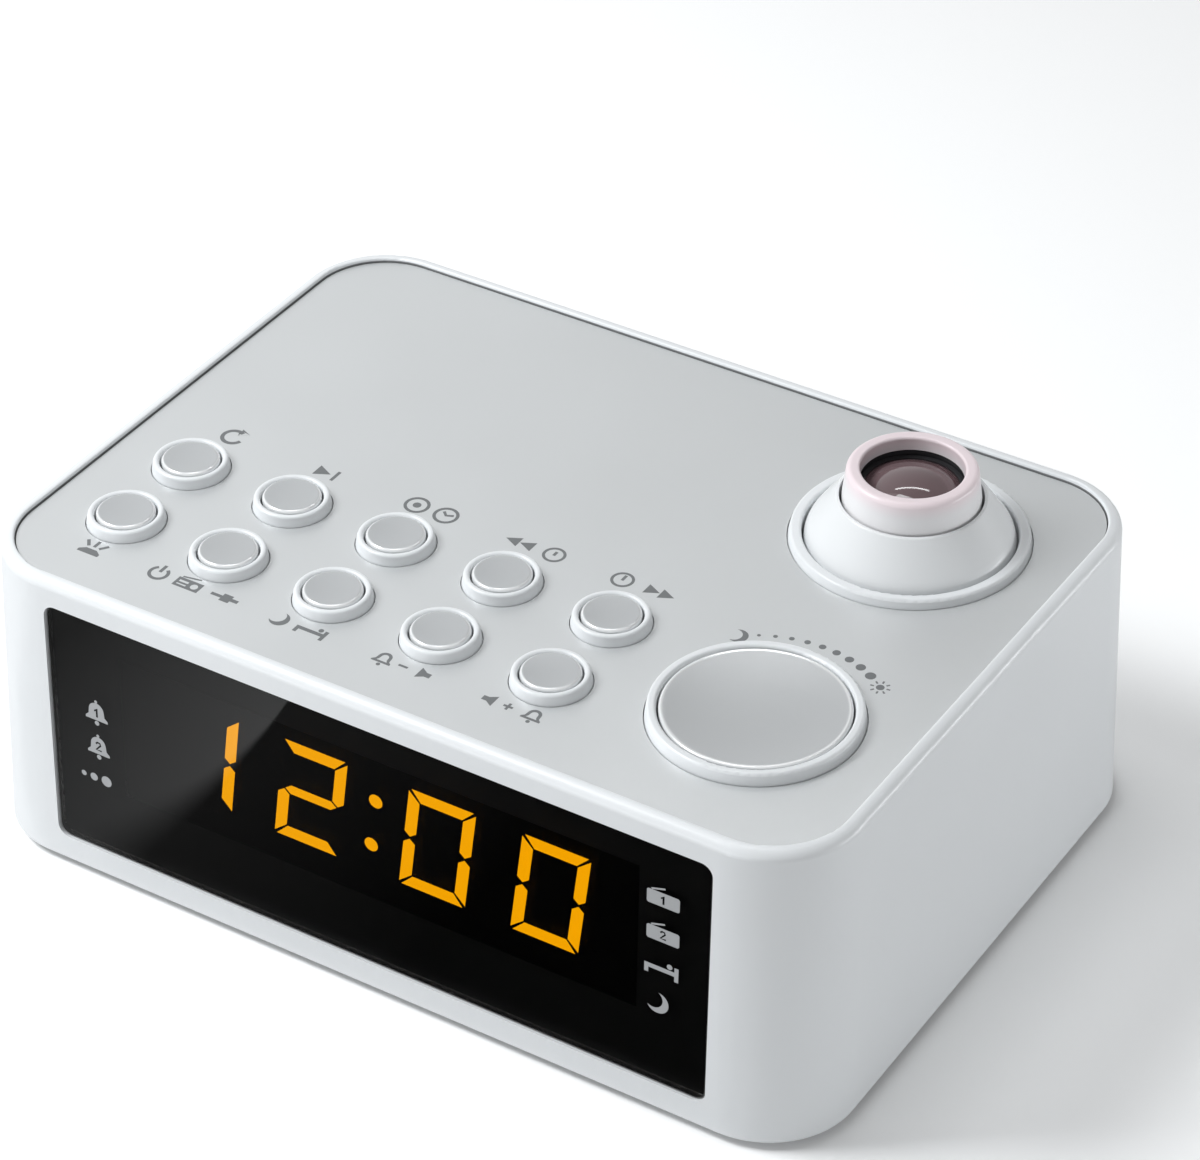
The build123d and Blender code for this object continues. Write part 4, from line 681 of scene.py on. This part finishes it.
# %% Clear and coated glass
def glass(name, color, roughness=0.0, index=1.5, **settings):
    """See-through glass or plastic with a tint."""
    material = bpy.data.materials.new(name)
    material.use_nodes = True
    shader = material.node_tree.nodes["Principled BSDF"]
    shader.inputs["Base Color"].default_value = (*color, 1)
    shader.inputs["Roughness"].default_value = roughness
    shader.inputs["IOR"].default_value = index
    shader.inputs["Transmission Weight"].default_value = 1.0
    for socket_name, value in settings.items():
        shader.inputs[socket_name.replace("_", " ")].default_value = value
    return material


coated_glass = glass("coated glass", (0.20, 0.125, 0.135), 0.02, 1.75, Transmission_Weight=0.3)
finish_node(coated_glass, "projection_lens")
finish_node(glass("condenser glass", (0.95, 0.97, 0.98)), "condenser_lens")
finish_node(glass("display glass", (0.30, 0.32, 0.33), 0.05, 1.5), "projector_glass")
finish_node(black_plastic, "lens_carrier", "projector_tube")

# %% [markdown]
# ## Inside and underneath
#
# What the base hides still gets its own finish: boards, tins, rubber, wire and paper.

# %% Finishes of the inner pieces
board_green = moulded("board green", (0.02, 0.12, 0.05), 0.35, mottle=0.25)
zinc = moulded("zinc plate", (0.62, 0.62, 0.63), 0.30, variation=0.1, Metallic=1.0)
spring_steel = moulded("spring steel", (0.66, 0.65, 0.62), 0.22, Metallic=1.0)
rubber = moulded("foot rubber", (0.022, 0.022, 0.022), 0.85, grain=1800.0, depth=0.3)
ferrite = moulded("ferrite grey", (0.055, 0.055, 0.06), 0.6, grain=1500.0, depth=0.35, mottle=0.15)
frame_steel = moulded("speaker frame black", (0.04, 0.04, 0.043), 0.4, depth=0.15)
paper = moulded("cone paper", (0.035, 0.034, 0.033), 0.9, grain=900.0, depth=0.5, mottle=0.3)
enamel = moulded("copper enamel", (0.55, 0.23, 0.09), 0.25, Metallic=0.9)
chip_black = moulded("chip black", (0.015, 0.015, 0.016), 0.55, grain=3000.0, depth=0.2)
ivory = moulded("plunger ivory", (0.55, 0.52, 0.45), 0.5, depth=0.05)
finish_node(board_green, "display_board", "key_board", "main_board", "projector_board")
finish_node(zinc, "case_screws", "board_screws", "projector_screws", "battery_contacts", "tuner_can")
finish_node(spring_steel, "battery_springs")
finish_node(rubber, "rubber_feet")
finish_node(ferrite, "speaker_magnet", "ferrite_rod")
finish_node(frame_steel, "speaker_frame")
finish_node(paper, "speaker_cone")
finish_node(enamel, "aerial_coil")
finish_node(chip_black, "radio_chip", "capacitors", "audio_socket", "power_socket", "tact_switches")
finish_node(ivory, *[name for name in cad if name.startswith("plunger_")])

lit_red = bpy.data.materials.new("lit red")
lit_red.use_nodes = True
shader = lit_red.node_tree.nodes["Principled BSDF"]
shader.inputs["Base Color"].default_value = (0.5, 0.03, 0.02, 1)
shader.inputs["Emission Color"].default_value = (1.0, 0.06, 0.04, 1)
shader.inputs["Emission Strength"].default_value = 1.5
finish_node(lit_red, "projector_led")
dressed = {name for name in cad if cad[name].data.materials}
print("nodes with a finish:", len(dressed), "of", len(cad))

# %% [markdown]
# ## Floor, light and camera
#
# The floor is pale and matt, and reads as white to the camera while it keeps the shadow. The
# world behind it is white to the camera and in reflections, and only a weak fill elsewhere.

# %% Helpers for the studio
def stage_sheet(name, x_ends, y_ends, material, height=0.0):
    """A flat rectangle of the studio, which isn't part of the clock."""
    corners = [(x_ends[a], y_ends[b], height) for a, b in ((0, 0), (1, 0), (1, 1), (0, 1))]
    mesh = bpy.data.meshes.new(name)
    mesh.from_pydata(corners, [], [(0, 1, 2, 3)])
    mesh.materials.append(material)
    sheet = bpy.data.objects.new(name, mesh)
    bpy.context.scene.collection.objects.link(sheet)
    return sheet


def seen_directly(tree, *rays):
    """A value that is 1 for rays of the named kinds, and 0 for the light that falls on things."""
    path = tree.nodes.new("ShaderNodeLightPath")
    total = path.outputs[rays[0]]
    for ray in rays[1:]:
        larger = tree.nodes.new("ShaderNodeMath")
        larger.operation = "MAXIMUM"
        tree.links.new(total, larger.inputs[0])
        tree.links.new(path.outputs[ray], larger.inputs[1])
        total = larger.outputs[0]
    return total


# %% The floor's paint and the world behind it
FLOOR_SEEN, FLOOR_LIT, FLOOR_HALF = 1.28, 0.75, 3.0
STUDIO_WHITE = (0.985, 0.995, 1.0, 1)
floor_paint = bpy.data.materials.new("floor white")
floor_paint.use_nodes = True
tree = floor_paint.node_tree
shader = tree.nodes["Principled BSDF"]
shader.inputs["Roughness"].default_value = 0.9
paleness = tree.nodes.new("ShaderNodeMapRange")
paleness.inputs["To Min"].default_value = FLOOR_LIT
paleness.inputs["To Max"].default_value = FLOOR_SEEN
paleness.clamp = False
tree.links.new(seen_directly(tree, "Is Camera Ray", "Is Transmission Ray"), paleness.inputs["Value"])
tree.links.new(paleness.outputs["Result"], shader.inputs["Base Color"])
stage_sheet("floor", (-FLOOR_HALF, FLOOR_HALF), (-FLOOR_HALF, FLOOR_HALF), floor_paint)

WORLD_FILL = 0.27
world = bpy.data.worlds.new("studio")
bpy.context.scene.world = world
world.use_nodes = True
tree = world.node_tree
background = tree.nodes["Background"]
background.inputs["Color"].default_value = STUDIO_WHITE
level = tree.nodes.new("ShaderNodeMapRange")
level.inputs["To Min"].default_value = WORLD_FILL
level.inputs["To Max"].default_value = 1.0
white_rays = seen_directly(tree, "Is Camera Ray", "Is Glossy Ray", "Is Transmission Ray")
tree.links.new(white_rays, level.inputs["Value"])
tree.links.new(level.outputs["Result"], background.inputs["Strength"])

# %% [markdown]
# The lens's reflection is painted on a sheet that only reflections see, which stands for a table in front
# of
# the clock: nearly black, apart from a glowing patch at the left that ends in a line, sharp far away and
# soft close to the clock.

# %% A table that only reflections see, painted with the lens's reflection
def glowing_black(name, color):
    """A black that reflects nothing and glows; its glow is wired up by the caller."""
    material = bpy.data.materials.new(name)
    material.use_nodes = True
    shader = material.node_tree.nodes["Principled BSDF"]
    shader.inputs["Base Color"].default_value = (0, 0, 0, 1)
    shader.inputs["Roughness"].default_value = 1.0
    shader.inputs["Specular IOR Level"].default_value = 0.0
    shader.inputs["Emission Color"].default_value = color
    return material, shader.inputs["Emission Strength"]


TABLE_X, TABLE_Y, TABLE_HEIGHT = (-0.12, 0.064), (-0.16, -0.058), 0.0004
FAR_Y, NEAR_Y = -0.112, -0.062
END_X, END_SOFTNESS = (-0.056, -0.043), (0.0006, 0.0226)  # of the patch, far away and close by
PATCH_X, PATCH_GLOW = (-0.055, -0.100), (0.95, 0.22)  # it fades to the left
CLOSE_GLOW = 0.6
HAZE_X, HAZE_GLOW = (-0.05, 0.0), (0.10, 0.01)
table_painted_reflection, table_reflection_glow = glowing_black("table painted reflection", (0.97, 0.99, 1.0, 1))
tree = table_painted_reflection.node_tree
x, y, _ = place_xyz(tree)
nearness = ramp(tree, y, FAR_Y, NEAR_Y)
softness = ramp(tree, maths(tree, "MULTIPLY", nearness, nearness), 0.0, 1.0, *END_SOFTNESS)
dark_end = ramp(tree, nearness, 0.0, 1.0, *END_X)
patch = ramp(tree, x, dark_end, maths(tree, "SUBTRACT", dark_end, softness), smooth=True)
fading_left = ramp(tree, x, *PATCH_X, *PATCH_GLOW)
fading_near = ramp(tree, nearness, 0.0, 1.0, 1.0, CLOSE_GLOW)
fading = maths(tree, "MULTIPLY", fading_left, fading_near)
haze = ramp(tree, x, *HAZE_X, *HAZE_GLOW)
# Painted reflection: this glow is what the smoked lens shows of the table.
tree.links.new(maths(tree, "MAXIMUM", maths(tree, "MULTIPLY", patch, fading), haze), table_reflection_glow)
table = stage_sheet("table", TABLE_X, TABLE_Y, table_painted_reflection, height=TABLE_HEIGHT)

# %% [markdown]
# A key light at the left and a weak one above shape the clock. Two low strips at the right
# and in front lift its walls, and hardly touch the plate.

# %% Softboxes
def softbox(name, place, target, size, power, height=None):
    """An area light that faces a point, square unless a height is given."""
    lamp = bpy.data.lights.new(name, "AREA")
    lamp.shape = "RECTANGLE"
    lamp.size = size
    lamp.size_y = height or size
    lamp.energy = power
    lamp.color = (0.965, 0.985, 1.0)
    box = bpy.data.objects.new(name, lamp)
    bpy.context.scene.collection.objects.link(box)
    box.location = place
    box.rotation_euler = (Vector(target) - Vector(place)).to_track_quat("-Z", "Y").to_euler()
    return box


softbox("key light", (-0.38, -0.21, 0.55), (0, 0, 0.03), 0.26, 3.2)
softbox("top light", (-0.12, 0.08, 0.80), (0, 0, 0.03), 0.24, 0.8)
softbox("side light", (0.46, 0.22, 0.028), (0.05, 0, 0.028), 0.40, 0.74, height=0.05)
softbox("front light", (-0.10, -0.52, 0.060), (0, -0.05, 0.040), 0.50, 0.55, height=0.05)

# %% [markdown]
# Silver paint shows the room, and the room that it shows here is painted: a card that only reflections see
# glows less and less towards the right, which darkens what the plate reflects. A bright bar on it, square
# to the view, paints the crescent highlight in the projector's lens.

# %% A graded card that only reflections see, with painted reflections
card_light, card_glow = glowing_black("card light", STUDIO_WHITE)
tree = card_light.node_tree
x, y, _ = place_xyz(tree)
CARD_LEFT, CARD_RIGHT, LEFT_GLOW, RIGHT_GLOW = -0.24, 0.04, 1.02, 0.43
painted_room_reflection = ramp(tree, x, CARD_LEFT, CARD_RIGHT, LEFT_GLOW, RIGHT_GLOW)
# Painted highlight: the bar's glow draws the crescent in the projector's lens.
BAR_X, BAR_Y, BAR_HALF, BAR_DEPTH, BAR_GLOW = 0.007, 0.105, 0.060, 0.003, 8.0
BAR_COS, BAR_SIN = 0.89, 0.456  # the way the bar runs, square to the view
END_FADE, SIDE_FADE = 0.01, 0.004
off_x, off_y = maths(tree, "SUBTRACT", x, BAR_X), maths(tree, "SUBTRACT", y, BAR_Y)
x_cos, y_sin = maths(tree, "MULTIPLY", off_x, BAR_COS), maths(tree, "MULTIPLY", off_y, BAR_SIN)
y_cos, x_sin = maths(tree, "MULTIPLY", off_y, BAR_COS), maths(tree, "MULTIPLY", off_x, BAR_SIN)
along, across = maths(tree, "ADD", x_cos, y_sin), maths(tree, "SUBTRACT", y_cos, x_sin)
in_length = ramp(tree, maths(tree, "ABSOLUTE", along), BAR_HALF + END_FADE, BAR_HALF, smooth=True)
in_depth = ramp(tree, maths(tree, "ABSOLUTE", across), BAR_DEPTH + SIDE_FADE, BAR_DEPTH, smooth=True)
bar = maths(tree, "MULTIPLY", maths(tree, "MULTIPLY", in_length, in_depth), BAR_GLOW)
tree.links.new(maths(tree, "ADD", painted_room_reflection, bar), card_glow)
CARD_X, CARD_Y, CARD_HEIGHT = (-0.5, 0.6), (0.05, 0.8), 0.24
card = stage_sheet("card", CARD_X, CARD_Y, card_light, height=CARD_HEIGHT)
for sheet in (table, card):
    sheet.visible_camera = False
    sheet.visible_diffuse = False
    sheet.visible_shadow = False

# %% Camera
camera_data = bpy.data.cameras.new("camera")
camera_data.sensor_fit = "HORIZONTAL"
camera_data.sensor_width = 36.0
camera_data.lens = 127.766
camera_data.clip_start = 0.01
camera = bpy.data.objects.new("camera", camera_data)
bpy.context.scene.collection.objects.link(camera)
CAMERA_PLACE = Vector((0.29150, -0.44841 + PLATE_Y, 0.38127 + PLATE_TOP))
right = Vector((0.84721, 0.53120, -0.00754))
up = Vector((-0.30858, 0.50360, 0.80695))
back = right.cross(up)
camera.matrix_world = Matrix.Translation(CAMERA_PLACE) @ Matrix(
    ((right.x, up.x, back.x, 0), (right.y, up.y, back.y, 0), (right.z, up.z, back.z, 0), (0, 0, 0, 1))
)
bpy.context.scene.camera = camera
bpy.context.scene.view_settings.view_transform = "Standard"
